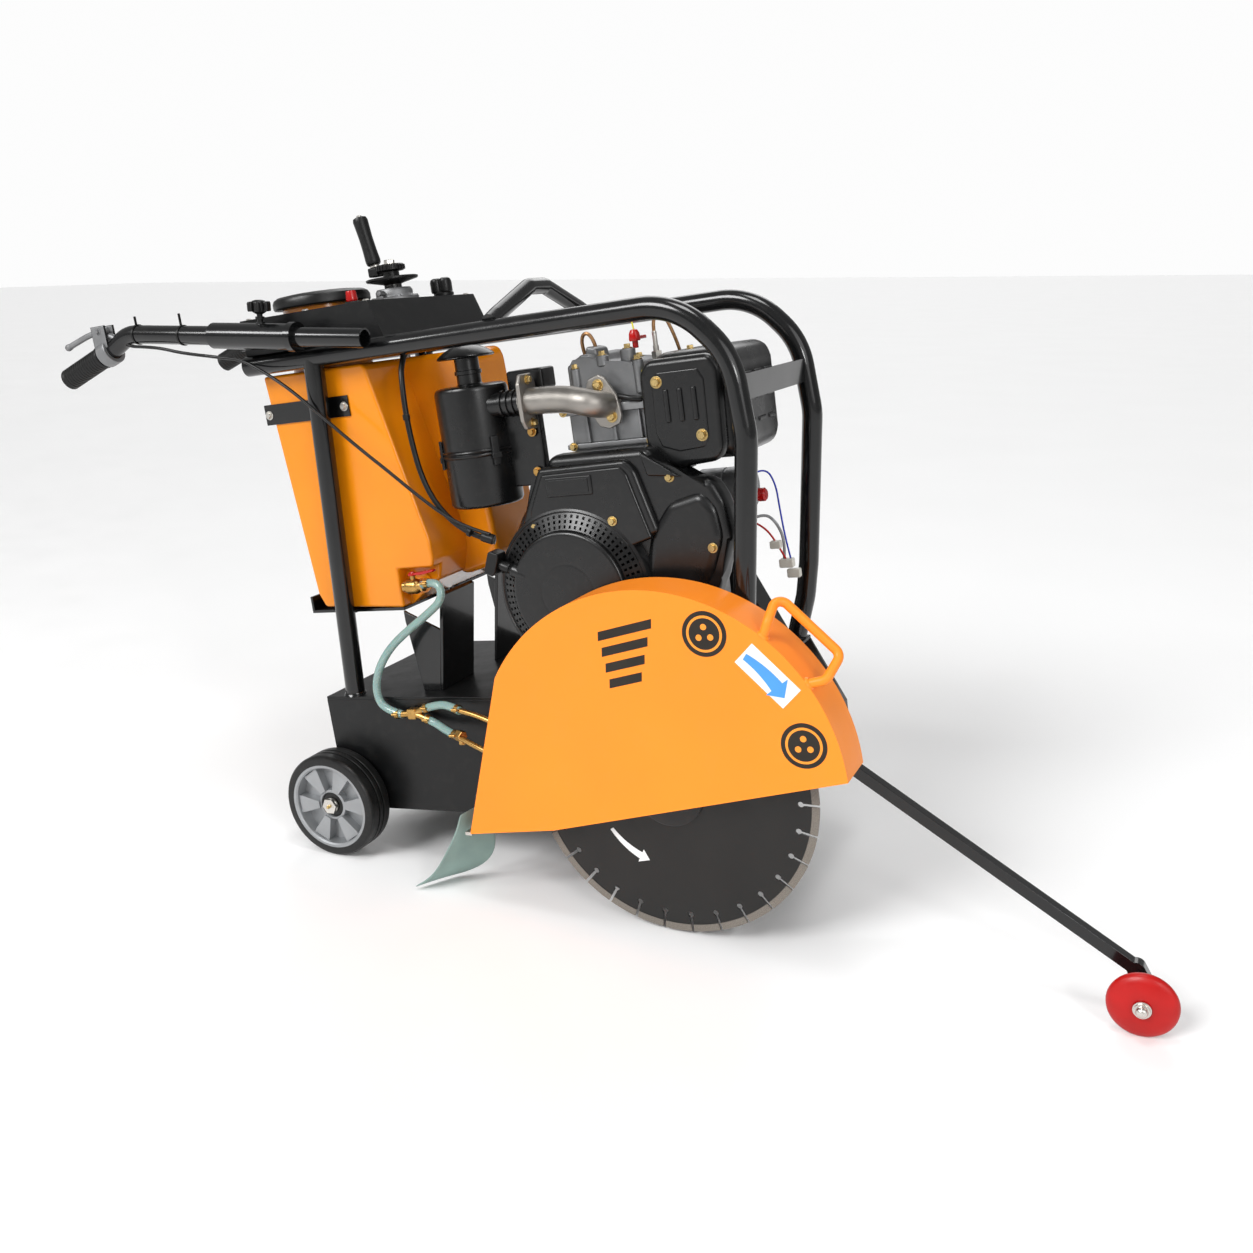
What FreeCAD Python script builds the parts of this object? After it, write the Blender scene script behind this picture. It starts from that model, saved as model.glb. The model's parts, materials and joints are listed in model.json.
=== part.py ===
import FreeCAD, Part
import math
import os

import Sketcher
from FreeCAD import Placement, Rotation, Vector

# Walk-behind concrete cut-off saw with a 500 mm blade.
#
# Every piece is drawn in the chassis frame: X forward, Y to the far side (the blade is on the
# near side, at negative Y), Z up, with the rear axle at X = 0, Z = 0.  The last step stands the
# whole machine nose-up on its wheels, so that the lowered front wheels touch the floor, Z = 0.

DIMENSIONS = {
    # stance
    "pitch": 7.68,
    "origin_x": -444.8,
    "origin_y": 18.5,
    "wheel_radius": 100.0,
    # chassis
    "chassis_half": 193.0,
    "chassis_rear": -12.0,
    "chassis_top": 197.0,
    "chassis_bottom": -26.0,
    "deck_front": 827.0,
    "nose_x": 885.0,
    "plate": 6.0,
    "axle_radius": 10.0,
    # running gear
    "rear_track": 230.0,
    "rear_width": 60.0,
    "rim_radius": 82.7,
    "front_x": 570.0,
    "front_z": -102.09,
    "front_radius": 75.0,
    "front_track": 149.0,
    "front_width": 38.0,
    "pivot_x": 300.0,
    "pivot_z": 5.0,
    "lever_reach": 140.0,
    "lever_rise": 15.0,
    # tubes
    "tube_radius": 18.0,
    "cage_bend": 130.0,
    "tube_wall": 2.6,
    "cage_half": 175.0,
    "rail_height": 822.0,
    "bar_half": 215.0,
    "bar_radius": 17.0,
    "bar_front": 237.0,
    "bar_height": 871.4,
    "sleeve_radius": 23.0,
    # blade and its shaft
    "arbor_x": 711.5,
    "arbor_z": 61.0,
    "arbor_radius": 17.5,
    "blade_radius": 250.0,
    "blade_side": 256.4,
    "blade_core": 3.2,
    "segment_width": 4.0,
    "segment_height": 12.0,
    "segment_count": 30,
    "flange_radius": 60.0,
    # guard
    "guard_outer": 297.0,
    "guard_inner": 208.0,
    "guard_sheet": 3.0,
    "guard_x": 702.6,
    "guard_z": 86.0,
    "guard_radius": 319.4,
    "hinge_x": 372.0,
    "hinge_z": 150.0,
    "hinge_pin": 8.0,
    # engine
    "crank_x": 544.0,
    "crank_z": 381.0,
    "recoil_radius": 108.0,
    # belt drive
    "drive_pulley": 55.0,
    "driven_pulley": 66.0,
    "belt_width": 12.0,
    "belt_depth": 9.0,
    "belt_pitch": 13.5,
    # tank, console and depth screw
    "tank_half": 152.0,
    "screw_x": 162.4,
    "screw_radius": 10.0,
    "console_top": 903.0,
    "lid_x": 30.0,
    "lid_y": -45.0,
    "lid_radius": 90.0,
    # front guide
    "guide_x": 1408.7,
    "guide_radius": 50.0,
    "guide_hinge_x": 885.0,
    "guide_hinge_z": 175.0,
    "guide_side": 196.0,
    "guide_bar": 18.0,
    # fits
    "running": 0.05,
    "hose_radius": 7.5,
    "cable_radius": 3.0,
    "loom_radius": 5.0,
}

doc = FreeCAD.newDocument("ConcreteSaw")
sheet = doc.addObject("Spreadsheet::Sheet", "Dims")
for row, (alias, value) in enumerate(DIMENSIONS.items(), 1):
    sheet.set(f"A{row}", alias)
    sheet.set(f"B{row}", str(value))
    sheet.setAlias(f"B{row}", alias)
doc.recompute()


class Size:
    """A length that carries its value and the spreadsheet formula that gives it."""

    def __init__(self, value, formula):
        self.value = float(value)
        self.formula = formula

    def __float__(self):
        return self.value

    def joined(self, other, sign, value):
        return Size(value, f"({self.formula} {sign} {formula_of(other)})")

    def __add__(self, other):
        return self.joined(other, "+", self.value + float(other))

    def __sub__(self, other):
        return self.joined(other, "-", self.value - float(other))

    def __mul__(self, other):
        return self.joined(other, "*", self.value * float(other))

    def __truediv__(self, other):
        return self.joined(other, "/", self.value / float(other))

    def __radd__(self, other):
        return self + other

    def __rmul__(self, other):
        return self * other

    def __rsub__(self, other):
        return Size(float(other) - self.value, f"({formula_of(other)} - {self.formula})")

    def __neg__(self):
        return Size(-self.value, f"(-1 * {self.formula})")


def formula_of(length):
    return length.formula if isinstance(length, Size) else repr(float(length))


class Dims:
    """The spreadsheet's cells, by alias."""

    def __getattr__(self, alias):
        return Size(sheet.get(alias), f"Dims.{alias}")


D = Dims()
NODES = {}


# ---------------------------------------------------------------- building blocks


def bind(obj, prop, length):
    """Give a property its size, bound to the spreadsheet where the size comes from there."""
    if isinstance(length, Size):
        obj.setExpression(prop, length.formula)
        return
    target, names = obj, prop.split(".")
    if len(names) == 1:
        setattr(target, prop, float(length))
    else:
        obj.setExpression(prop, repr(float(length)))


def node(label, obj, at=(0.0, 0.0, 0.0), turn=None):
    """Name a sub-part and place it in the chassis frame."""
    obj.Label = label
    base = Vector(*(float(c) for c in at))
    NODES[label] = (obj, Placement(base, turn or Rotation()))
    return obj


def box(x, y, z, name="Block"):
    """A block between two X, two Y and two Z values."""
    block = doc.addObject("Part::Box", name)
    spans = (("Length", "x", x), ("Width", "y", y), ("Height", "z", z))
    for prop, axis, (low, high) in spans:
        bind(block, prop, high - low)
        bind(block, f"Placement.Base.{axis}", low)
    return block


AXIS_TURN = {
    "X": Rotation(Vector(0, 1, 0), 90),
    "Y": Rotation(Vector(1, 0, 0), -90),
    "Z": Rotation(),
}


def set_on_axis(solid, axis, start, centre):
    """Stand a primitive on its axis, starting at start, with its centre line at centre."""
    solid.Placement = Placement(Vector(), AXIS_TURN[axis])
    places = dict(zip([a for a in "XYZ" if a != axis], centre))
    places[axis] = start
    for letter, place in places.items():
        bind(solid, f"Placement.Base.{letter.lower()}", place)


def rod(axis, radius, span, centre, name="Rod"):
    """A round bar along an axis."""
    bar = doc.addObject("Part::Cylinder", name)
    bind(bar, "Radius", radius)
    bind(bar, "Height", span[1] - span[0])
    set_on_axis(bar, axis, span[0], centre)
    return bar


def taper(axis, radii, span, centre, name="Taper"):
    """A cone frustum along an axis."""
    cone = doc.addObject("Part::Cone", name)
    bind(cone, "Radius1", radii[0])
    bind(cone, "Radius2", radii[1])
    bind(cone, "Height", span[1] - span[0])
    set_on_axis(cone, axis, span[0], centre)
    return cone


def hexagon(axis, across, span, centre, name="Hex"):
    """A hexagonal head or nut along an axis."""
    prism = doc.addObject("Part::Prism", name)
    prism.Polygon = 6
    bind(prism, "Circumradius", across / math.sqrt(3))
    bind(prism, "Height", span[1] - span[0])
    set_on_axis(prism, axis, span[0], centre)
    return prism


def fuse(parts, name="Joined"):
    joined = doc.addObject("Part::MultiFuse", name)
    joined.Shapes = parts
    return joined


def group(parts, name="Group"):
    together = doc.addObject("Part::Compound", name)
    together.Links = parts
    return together


def cut(base, tools, name="Cut"):
    result = doc.addObject("Part::Cut", name)
    result.Base = base
    result.Tool = tools[0] if len(tools) == 1 else fuse(tools, name + "Tools")
    return result


def ring(axis, outer, inner, span, centre, name="Ring"):
    """A sleeve: a round bar with a bore along its whole length."""
    hole = rod(axis, inner, (span[0] - 1, span[1] + 1), centre, name + "Bore")
    return cut(rod(axis, outer, span, centre, name + "Body"), [hole], name)


def shaped(shape, name="Shape"):
    """A piece whose shape is worked out from the spreadsheet's values."""
    feature = doc.addObject("Part::Feature", name)
    feature.Shape = shape
    return feature


# ---------------------------------------------------------------- sketches


def origin_plane(body, role):
    return [f for f in body.Origin.OriginFeatures if f.Role == role][0]


def new_sketch(body, role, offset):
    sketch = body.newObject("Sketcher::SketchObject", body.Name + "Sketch")
    sketch.AttachmentSupport = (origin_plane(body, role), [""])
    sketch.MapMode = "FlatFace"
    sketch.AttachmentOffset = Placement(Vector(0, 0, float(offset)), Rotation())
    bind(sketch, "AttachmentOffset.Base.z", offset)
    return sketch


def pin_point(sketch, index, end, place):
    """Hold a sketch point at a place that the spreadsheet gives."""
    for kind, axis, length in (("DistanceX", -2, place[0]), ("DistanceY", -1, place[1])):
        if float(length) == 0.0:
            sketch.addConstraint(Sketcher.Constraint("PointOnObject", index, end, axis))
            continue
        rule = sketch.addConstraint(Sketcher.Constraint(kind, -1, 1, index, end, float(length)))
        if isinstance(length, Size):
            sketch.setExpression(f"Constraints[{rule}]", length.formula)


def arc_to(end, mid):
    """The corner that an arc reaches, and a point that the arc passes through."""
    return {"end": end, "mid": mid}


def draw_outline(sketch, corners):
    """A closed outline of straight edges, with an arc where a corner is given by arc_to."""
    points = [c["end"] if isinstance(c, dict) else c for c in corners]
    ends = []
    for number, corner in enumerate(corners):
        start = Vector(float(points[number - 1][0]), float(points[number - 1][1]), 0)
        finish = Vector(float(points[number][0]), float(points[number][1]), 0)
        if isinstance(corner, dict):
            middle = Vector(float(corner["mid"][0]), float(corner["mid"][1]), 0)
            curve = Part.Arc(start, middle, finish)
        else:
            curve = Part.LineSegment(start, finish)
        index = sketch.addGeometry(curve, False)
        first = 1 if sketch.getPoint(index, 1).distanceToPoint(start) < 1e-4 else 2
        ends.append((index, first, 3 - first))
        if isinstance(corner, dict):
            radius = sketch.Geometry[index].Radius
            sketch.addConstraint(Sketcher.Constraint("Radius", index, radius))
    for number, (index, _, last) in enumerate(ends):
        following = ends[(number + 1) % len(ends)]
        link = Sketcher.Constraint("Coincident", index, last, following[0], following[1])
        sketch.addConstraint(link)
        pin_point(sketch, index, last, points[number])


def draw_circle(sketch, centre, radius):
    spot = Vector(float(centre[0]), float(centre[1]), 0)
    index = sketch.addGeometry(Part.Circle(spot, Vector(0, 0, 1), float(radius)), False)
    rule = sketch.addConstraint(Sketcher.Constraint("Radius", index, float(radius)))
    if isinstance(radius, Size):
        sketch.setExpression(f"Constraints[{rule}]", radius.formula)
    pin_point(sketch, index, 3, centre)


ROLE = {"XY": "XY_Plane", "XZ": "XZ_Plane", "YZ": "YZ_Plane"}


def slab(plane, span, outline, holes=(), name="Slab"):
    """A flat piece with an outline in a plane and its thickness between two values.

    The XZ plane's normal points along -Y, so there the sketch lies on the far face.
    """
    body = doc.addObject("PartDesign::Body", name)
    low, high = span
    sketch = new_sketch(body, ROLE[plane], -high if plane == "XZ" else low)
    draw_outline(sketch, outline)
    for centre, radius in holes:
        draw_circle(sketch, centre, radius)
    pad = body.newObject("PartDesign::Pad", name + "Pad")
    pad.Profile = sketch
    bind(pad, "Length", high - low)
    return body


def turned(axis, profile, name="Turned"):
    """A piece turned on a lathe: corners are (radius, place along the axis)."""
    body = doc.addObject("PartDesign::Body", name)
    sketch = new_sketch(body, "XY_Plane" if axis == "Y" else "XZ_Plane", 0)
    draw_outline(sketch, profile)
    spin = body.newObject("PartDesign::Revolution", name + "Turn")
    spin.Profile = sketch
    spin.ReferenceAxis = (sketch, ["V_Axis"])
    spin.Angle = 360
    return body


# ---------------------------------------------------------------- bent tubes and cords


def along(points, bend):
    """A path of straight runs joined by tangent arcs.

    bend is the radius of every arc, or None for arcs as large as their two runs allow.
    Returns the path, its length and the arcs' radii.
    """
    spots = [Vector(*(float(c) for c in p)) for p in points]
    edges, radii, here = [], [], spots[0]
    for before, corner, after in zip(spots, spots[1:], spots[2:]):
        back, ahead = before - corner, after - corner
        half = (math.pi - back.getAngle(ahead)) / 2
        room = 0.45 * min(back.Length, ahead.Length)
        radius = bend if bend else room / math.tan(half)
        setback = radius * math.tan(half)
        back.normalize()
        ahead.normalize()
        arc_start = corner + back * setback
        arc_end = corner + ahead * setback
        inward = (back + ahead).normalize()
        centre = corner + inward * (radius / math.cos(half))
        arc_middle = centre - inward * radius
        if (arc_start - here).Length > 1e-6:
            edges.append(Part.LineSegment(here, arc_start).toShape())
        edges.append(Part.Arc(arc_start, arc_middle, arc_end).toShape())
        radii.append(radius)
        here = arc_end
    edges.append(Part.LineSegment(here, spots[-1]).toShape())
    path = Part.Wire(edges)
    return path, path.Length, radii


def swept(points, radius, bend=None):
    """A round bar along a path."""
    path, length, radii = along(points, bend)
    start = Vector(*(float(c) for c in points[0]))
    heading = Vector(*(float(c) for c in points[1])) - start
    section = Part.Wire(Part.Circle(start, heading, float(radius)).toShape())
    solid = path.makePipeShell([section], True, False)
    if solid.Volume < 0:
        solid.reverse()
    return solid, length, radii


def tube(points, radius, wall, bend):
    """A bent tube, open at both ends."""
    outside = swept(points, radius, bend)[0]
    inside = swept(points, float(radius) - float(wall), bend)[0]
    return outside.cut(inside)


def cord(name, points, radius):
    """A cable or hose, with its arcs as large as its runs allow."""
    solid, length, radii = swept(points, radius)
    expected = math.pi * float(radius) ** 2 * length
    print(f"{name}: {length:.0f} mm, tightest radius {min(radii):.0f} mm,"
          f" volume over section times length {solid.Volume / expected:.4f}")
    return solid


# ---------------------------------------------------------------- chassis


def side_outline():
    low, rear, top = D.chassis_bottom, D.chassis_rear, D.chassis_top - D.plate
    return [
        (rear, low),
        (rear, top),
        (D.deck_front, top),
        (D.nose_x, 70),
        (D.nose_x, 10),
        (D.nose_x - 65, low),
    ]


def chassis_deck():
    half = D.chassis_half
    outline = [
        (D.chassis_rear, -half),
        (D.deck_front, -half),
        (D.deck_front, half),
        (D.chassis_rear, half),
    ]
    holes = [((D.screw_x, 0), 25)]
    node("chassis_deck", slab("XY", (D.chassis_top - D.plate, D.chassis_top), outline, holes, "Deck"))


def chassis_panels():
    """Side panels, end plates and the welded lugs that carry the guard and the front guide."""
    half, plate = D.chassis_half, D.plate
    holes = [
        ((0, 0), D.axle_radius),
        ((D.arbor_x, D.arbor_z), 26),
        ((D.pivot_x, D.pivot_z), 12 + D.running),
    ]
    near = slab("XZ", (-half, -half + plate), side_outline(), holes, "NearPanel")
    far = slab("XZ", (half - plate, half), side_outline(), holes, "FarPanel")
    across = (-half + plate, half - plate)
    rear_span = (D.axle_radius + 4, D.chassis_top - plate)
    rear = box((D.chassis_rear, D.chassis_rear + plate), across, rear_span, "RearPlate")
    slope = [
        (D.deck_front - 6, D.chassis_top - plate),
        (D.deck_front, D.chassis_top - plate),
        (D.nose_x, 70),
        (D.nose_x, 10),
        (D.nose_x - 6, 10),
        (D.nose_x - 6, 68.6),
    ]
    nose = slab("XZ", across, slope, (), "NosePlate")
    boss = rod("Y", 15, (-D.guard_inner + 0.5, -half), (D.hinge_x, D.hinge_z), "GuardBoss")
    pin_hole = rod("Y", D.hinge_pin, (-D.guard_inner, -half + plate), (D.hinge_x, D.hinge_z), "PinHole")
    lug = guide_lug()
    sides = cut(fuse([near, boss], "NearSide"), [pin_hole], "NearSideDrilled")
    node("chassis_panels", group([sides, far, rear, nose, lug], "Panels"))


def guide_lug():
    """The ear on the nose that the guide arm's pin goes through."""
    inner = -D.guide_side + D.guide_bar / 2 + 1
    outline = [
        (D.deck_front + 14.8, 160),
        (D.deck_front + 0.4, D.chassis_top - 7),
        (D.deck_front + 10, D.chassis_top - 1),
        (D.guide_hinge_x, D.guide_hinge_z + 16),
        (D.guide_hinge_x + 14, D.guide_hinge_z),
        (D.guide_hinge_x, D.guide_hinge_z - 16),
    ]
    holes = [((D.guide_hinge_x, D.guide_hinge_z), 7 + D.running)]
    return slab("XZ", (inner, inner + 9), outline, holes, "GuideLug")


def rear_axle():
    """The fixed rear axle, stepped down where the axle nuts go."""
    reach = D.rear_track + 20
    radius, thread = D.axle_radius, D.axle_radius - 2
    profile = [
        (0, -reach - 9),
        (thread, -reach - 9),
        (thread, -reach),
        (radius, -reach),
        (radius, reach),
        (thread, reach),
        (thread, reach + 9),
        (0, reach + 9),
    ]
    node("rear_axle", turned("Y", profile, "RearAxle"))


# ---------------------------------------------------------------- wheels


def rear_wheel(side, sign):
    """A polyurethane tyre moulded on a cast rim that turns on the rear axle."""
    half = D.rear_width / 2
    rim = D.rim_radius
    outer = D.wheel_radius
    tyre = [
        (rim, -half),
        (outer - 5, -half),
        (outer, -half + 5),
        (outer, -3),
        (outer - 4, -3),
        (outer - 4, 3),
        (outer, 3),
        (outer, half - 5),
        (outer - 5, half),
        (rim, half),
    ]
    node(f"rear_tyre_{side}", turned("Y", tyre, f"RearTyre{side}"), (0, sign * D.rear_track, 0))
    bore = D.axle_radius + D.running
    web = [
        (bore, -19.5),
        (24, -19.5),
        (27, -12),
        (rim - 12, -12),
        (rim - 8, -half),
        (rim, -half),
        (rim, half),
        (rim - 8, half),
        (rim - 12, 12),
        (27, 12),
        (24, 19.5),
        (bore, 19.5),
    ]
    node(f"rear_rim_{side}", turned("Y", web, f"RearRim{side}"), (0, sign * D.rear_track, 0))


def front_wheel(side, sign):
    half, outer = D.front_width / 2, D.front_radius
    bore = D.axle_radius + D.running
    profile = [
        (bore, -half),
        (22, -half),
        (24, -12),
        (outer - 18, -12),
        (outer - 16, -half),
        (outer - 4, -half),
        (outer, -half + 4),
        (outer, half - 4),
        (outer - 4, half),
        (outer - 16, half),
        (outer - 18, 12),
        (24, 12),
        (22, half),
        (bore, half),
    ]
    wheel = turned("Y", profile, f"FrontWheel{side}")
    node(f"front_wheel_{side}", wheel, (D.front_x, sign * D.front_track, D.front_z))


def strip(start, end, width, span, name):
    """A flat bar with round ends between two points of the XZ plane."""
    start = Vector(float(start[0]), 0, float(start[1]))
    end = Vector(float(end[0]), 0, float(end[1]))
    across = (end - start).cross(Vector(0, 1, 0)).normalize() * (float(width) / 2)
    edges = [
        Part.LineSegment(start + across, end + across).toShape(),
        Part.Arc(end + across, end + (end - start).normalize() * (float(width) / 2), end - across).toShape(),
        Part.LineSegment(end - across, start - across).toShape(),
        Part.Arc(start - across, start - (end - start).normalize() * (float(width) / 2), start + across).toShape(),
    ]
    face = Part.Face(Part.Wire(edges))
    face.translate(Vector(0, float(span[0]), 0))
    return shaped(face.extrude(Vector(0, float(span[1]) - float(span[0]), 0)), name)


def lever_end():
    """Where the lifting lever meets the nut with the front wheels down."""
    reach = float(D.lever_reach)
    rise = math.radians(float(D.lever_rise))
    return float(D.pivot_x) - reach * math.cos(rise), float(D.pivot_z) + reach * math.sin(rise)


def swing_frame():
    """The welded frame that carries the front axle and is tilted by the depth screw."""
    pivot = (D.pivot_x, D.pivot_z)
    axle = (D.front_x, D.front_z)
    tube_end = D.chassis_half - D.plate - 1
    stub_end = D.chassis_half + 4
    parts = [
        rod("Y", 20, (-tube_end, tube_end), pivot, "SwingTube"),
        rod("Y", 12, (-stub_end, stub_end), pivot, "SwingStubs"),
        rod("Y", D.axle_radius, (-D.front_track - 24, D.front_track + 24), axle, "FrontAxle"),
    ]
    for sign in (-1, 1):
        arm = (104 * sign - 4, 104 * sign + 4)
        parts.append(strip(pivot, axle, 44, arm, "SwingArm"))
        lever = (27 * sign - 4, 27 * sign + 4)
        parts.append(strip(pivot, lever_end(), 34, lever, "LiftLever"))
    slots = []
    for sign in (-1, 1):
        x, z = lever_end()
        lean = math.tan(math.radians(float(D.lever_rise)))
        span = (27 * sign - 6, 27 * sign + 6)
        slots.append(strip((x - 5, z + 5 * lean), (x + 5, z - 5 * lean), 12.8, span, "LeverSlot"))
    node("swing_frame", cut(fuse(parts, "SwingWeld"), slots, "SwingFrame"))


# ---------------------------------------------------------------- depth control


def depth_nut():
    """The travelling nut, with a pin on each side that rides in the lever's slots."""
    x, z = lever_end()
    block = box((D.screw_x - 18, D.screw_x + 18), (-20, 20), (z - 15, z + 15), "NutBlock")
    pins = rod("Y", 6, (-34, 34), (x, z), "NutPins")
    bore = rod("Z", D.screw_radius + D.running, (z - 20, z + 20), (D.screw_x, 0), "NutBore")
    node("depth_nut", cut(fuse([block, pins], "NutSolid"), [bore], "DepthNut"))


def depth_screw():
    """The long screw from the crank down to the travelling nut."""
    shank = rod("Z", D.screw_radius, (-52, 964), (D.screw_x, 0), "ScrewShank")
    shoulder = rod("Z", 16, (926.3, 934), (D.screw_x, 0), "ScrewShoulder")
    node("depth_screw", fuse([shank, shoulder], "DepthScrew"))


def crank_wheel():
    """The index disc and the hub with the lug that holds the crank's grip."""
    at = (D.screw_x, 0)
    parts = [
        taper("Z", (20, 48), (934, 941), at, "IndexDiscCone"),
        rod("Z", 48, (941, 945), at, "IndexDiscRim"),
        rod("Z", 15, (945, 957), at, "CrankHub"),
        rod("Z", 27, (957, 969), at, "CrankKnurl"),
        hexagon("Z", 17, (969, 977), at, "CrankNut"),
        box((D.screw_x - 44, D.screw_x - 22), (-11, 11), (951, 968), "CrankLug"),
    ]
    hole = rod("Z", D.screw_radius, (930, 964), at, "CrankBore")
    pin = swept([grip_point(-16), grip_point(96)], 5)[0]
    pin_seat = shaped(pin, "GripPin")
    node("crank_wheel", fuse([cut(fuse(parts, "CrankSolid"), [hole], "CrankTurned"), pin_seat], "CrankWheel"))


GRIP_LEAN = math.radians(10)


def grip_point(distance):
    """A point on the grip's leaning pin, measured up from the top of the lug."""
    x = float(D.screw_x) - 33 - distance * math.sin(GRIP_LEAN)
    return x, 0.0, 969 + distance * math.cos(GRIP_LEAN)


def crank_grip():
    grip = swept([grip_point(4), grip_point(92)], 14)[0]
    bore = swept([grip_point(2), grip_point(98)], 5.05)[0]
    node("crank_grip", shaped(grip.cut(bore), "CrankGrip"))


def crank_collar():
    at = (D.screw_x, 0)
    collar = ring("Z", 44, D.screw_radius + D.running, (D.console_top, 926), at, "Collar")
    node("crank_collar", collar)


# ---------------------------------------------------------------- cage


def cage_path(side):
    """The rail over the engine and the front leg, from the rear end to the deck."""
    return [
        (-60, side, D.rail_height),
        (790, side, D.rail_height),
        (868, side, 735),
        (879, side, 611),
        (844, side, 340),
        (832, side, 278),
        (800, side, 180),
    ]


def post_path(side):
    return [(43, side, 185), (88.5, side, D.rail_height - 4)]


def below_deck_top():
    """Everything under the deck's top face, to trim what stands on it."""
    return Part.makeBox(2000, 800, 400, Vector(-500, -400, float(D.chassis_top) - 400))


def cage(side, sign):
    """One side of the cage: the bent rail and leg with the rear post welded under it."""
    y = sign * D.cage_half
    rail, _, _ = swept(cage_path(y), D.tube_radius, D.cage_bend)
    post, _, _ = swept(post_path(y), D.tube_radius)
    inner = float(D.tube_radius) - float(D.tube_wall)
    rail_bore, _, _ = swept(cage_path(y), inner, D.cage_bend)
    post_bore, _, _ = swept(post_path(y), inner)
    weld = rail.fuse(post).cut(rail_bore).cut(post_bore).cut(below_deck_top())
    node(f"cage_{side}", shaped(weld, f"Cage{side}"))


def cage_braces():
    """The flat bar between the front legs, and the inverted V that the machine is hoisted by."""
    reach = D.cage_half - D.tube_radius
    outline = [(868, 664), (876, 664), (880, 704), (872, 704)]
    crossbar = slab("XZ", (-reach, reach), outline, (), "Crossbar")
    half = D.cage_half
    path = [
        (460, -half, 836),
        (460, -half * 0.86, 846),
        (460, -28, 889),
        (460, 28, 889),
        (460, half * 0.86, 846),
        (460, half, 836),
    ]
    arch = swept(path, 14, 24)[0]
    for sign in (-1, 1):
        arch = arch.cut(swept(cage_path(sign * half), float(D.tube_radius) + 0.05, D.cage_bend)[0])
    arch = max(arch.Solids, key=lambda solid: solid.Volume)
    node("cage_braces", group([crossbar, shaped(arch, "LiftingArch")], "CageBraces"))


# ---------------------------------------------------------------- handlebars


def bar_slope():
    """The handlebars run level with the floor, so they climb rearwards in this frame."""
    return math.tan(math.radians(float(D.pitch)))


def bar_z(x):
    return float(D.bar_height) - (float(x) - 3.5) * bar_slope()


def bar_path(y):
    return [
        (D.bar_front, y, bar_z(D.bar_front)),
        (-292, y, bar_z(-292)),
        (-345, y, 886),
        (-466, y, 848),
    ]


def bar_sleeve(side, sign):
    """The sleeve that a handlebar telescopes in, with its bracket on the console."""
    y = sign * D.bar_half
    ends = [(-88, y, bar_z(-88)), (95, y, bar_z(95))]
    sleeve = swept(ends, D.sleeve_radius)[0]
    collar = swept([(84, y, bar_z(84)), (97, y, bar_z(97))], float(D.sleeve_radius) + 3)[0]
    boss = shaped(star_post(y, 8, 16, 25), "KnobBoss")
    inside = sign * D.cage_half
    outside = sign * (D.bar_half - 16)
    across = (outside, inside) if sign < 0 else (inside, outside)
    bracket = box((-50, 60), across, (850, 884), "SleeveBracket")
    bore_ends = [(-120, y, bar_z(-120)), (130, y, bar_z(130))]
    bore = shaped(swept(bore_ends, D.bar_radius + D.running)[0], "SleeveBore")
    screw_hole = shaped(star_post(y, 5.05, 10, 40), "KnobHole")
    solid = fuse([shaped(sleeve, "Sleeve"), shaped(collar, "SleeveCollar"), bracket, boss], "SleeveWeld")
    node(f"bar_sleeve_{side}", cut(solid, [bore, screw_hole], f"BarSleeve{side}"))


def star_post(y, radius, low, high):
    """A round post square to the sleeve, at the star knob's place."""
    slope = bar_slope()
    length = math.hypot(1, slope)
    up = Vector(slope / length, 0, 1 / length)
    foot = Vector(18, float(y), bar_z(18))
    return swept([tuple(foot + up * low), tuple(foot + up * high)], radius)[0]


def star_knob(side, sign):
    """The clamping screw with a six-lobed head that holds the handlebar."""
    y = sign * D.bar_half
    screw = star_post(y, 5, 17.4, 46)
    head = star_post(y, 15, 40, 62)
    slope = bar_slope()
    up = Vector(slope, 0, 1).normalize()
    foot = Vector(18, float(y), bar_z(18))
    side_way = Vector(0, 1, 0)
    fore = side_way.cross(up)
    for lobe in range(6):
        angle = math.radians(60 * lobe)
        spot = foot + fore * (15 * math.cos(angle)) + side_way * (15 * math.sin(angle))
        head = head.fuse(swept([tuple(spot + up * 42), tuple(spot + up * 60)], 5.5)[0])
    node(f"star_knob_{side}", shaped(screw.fuse(head).removeSplitter(), f"StarKnob{side}"))


def handlebar(side, sign):
    y = sign * D.bar_half
    bar = tube(bar_path(y), D.bar_radius, 3, 70)
    if sign < 0:
        perch = lever_perch(y)
        node(f"handlebar_{side}", group([shaped(bar, "BarTube"), perch], f"Handlebar{side}"))
    else:
        node(f"handlebar_{side}", shaped(bar, f"Handlebar{side}"))
    grip_start, grip_end = grip_line(y, 22), grip_line(y, 132)
    grip = swept([grip_start, grip_end], 20.5)[0]
    hollow = swept([grip_line(y, 20), grip_line(y, 127.5)], float(D.bar_radius) + 0.1)[0]
    node(f"grip_{side}", shaped(grip.cut(hollow), f"Grip{side}"))


def grip_line(y, distance):
    """A point on the handlebar's last run, measured from its bend."""
    start, end = Vector(-345, float(y), 886), Vector(-466, float(y), 848)
    return tuple(start + (end - start).normalize() * distance)


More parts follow.
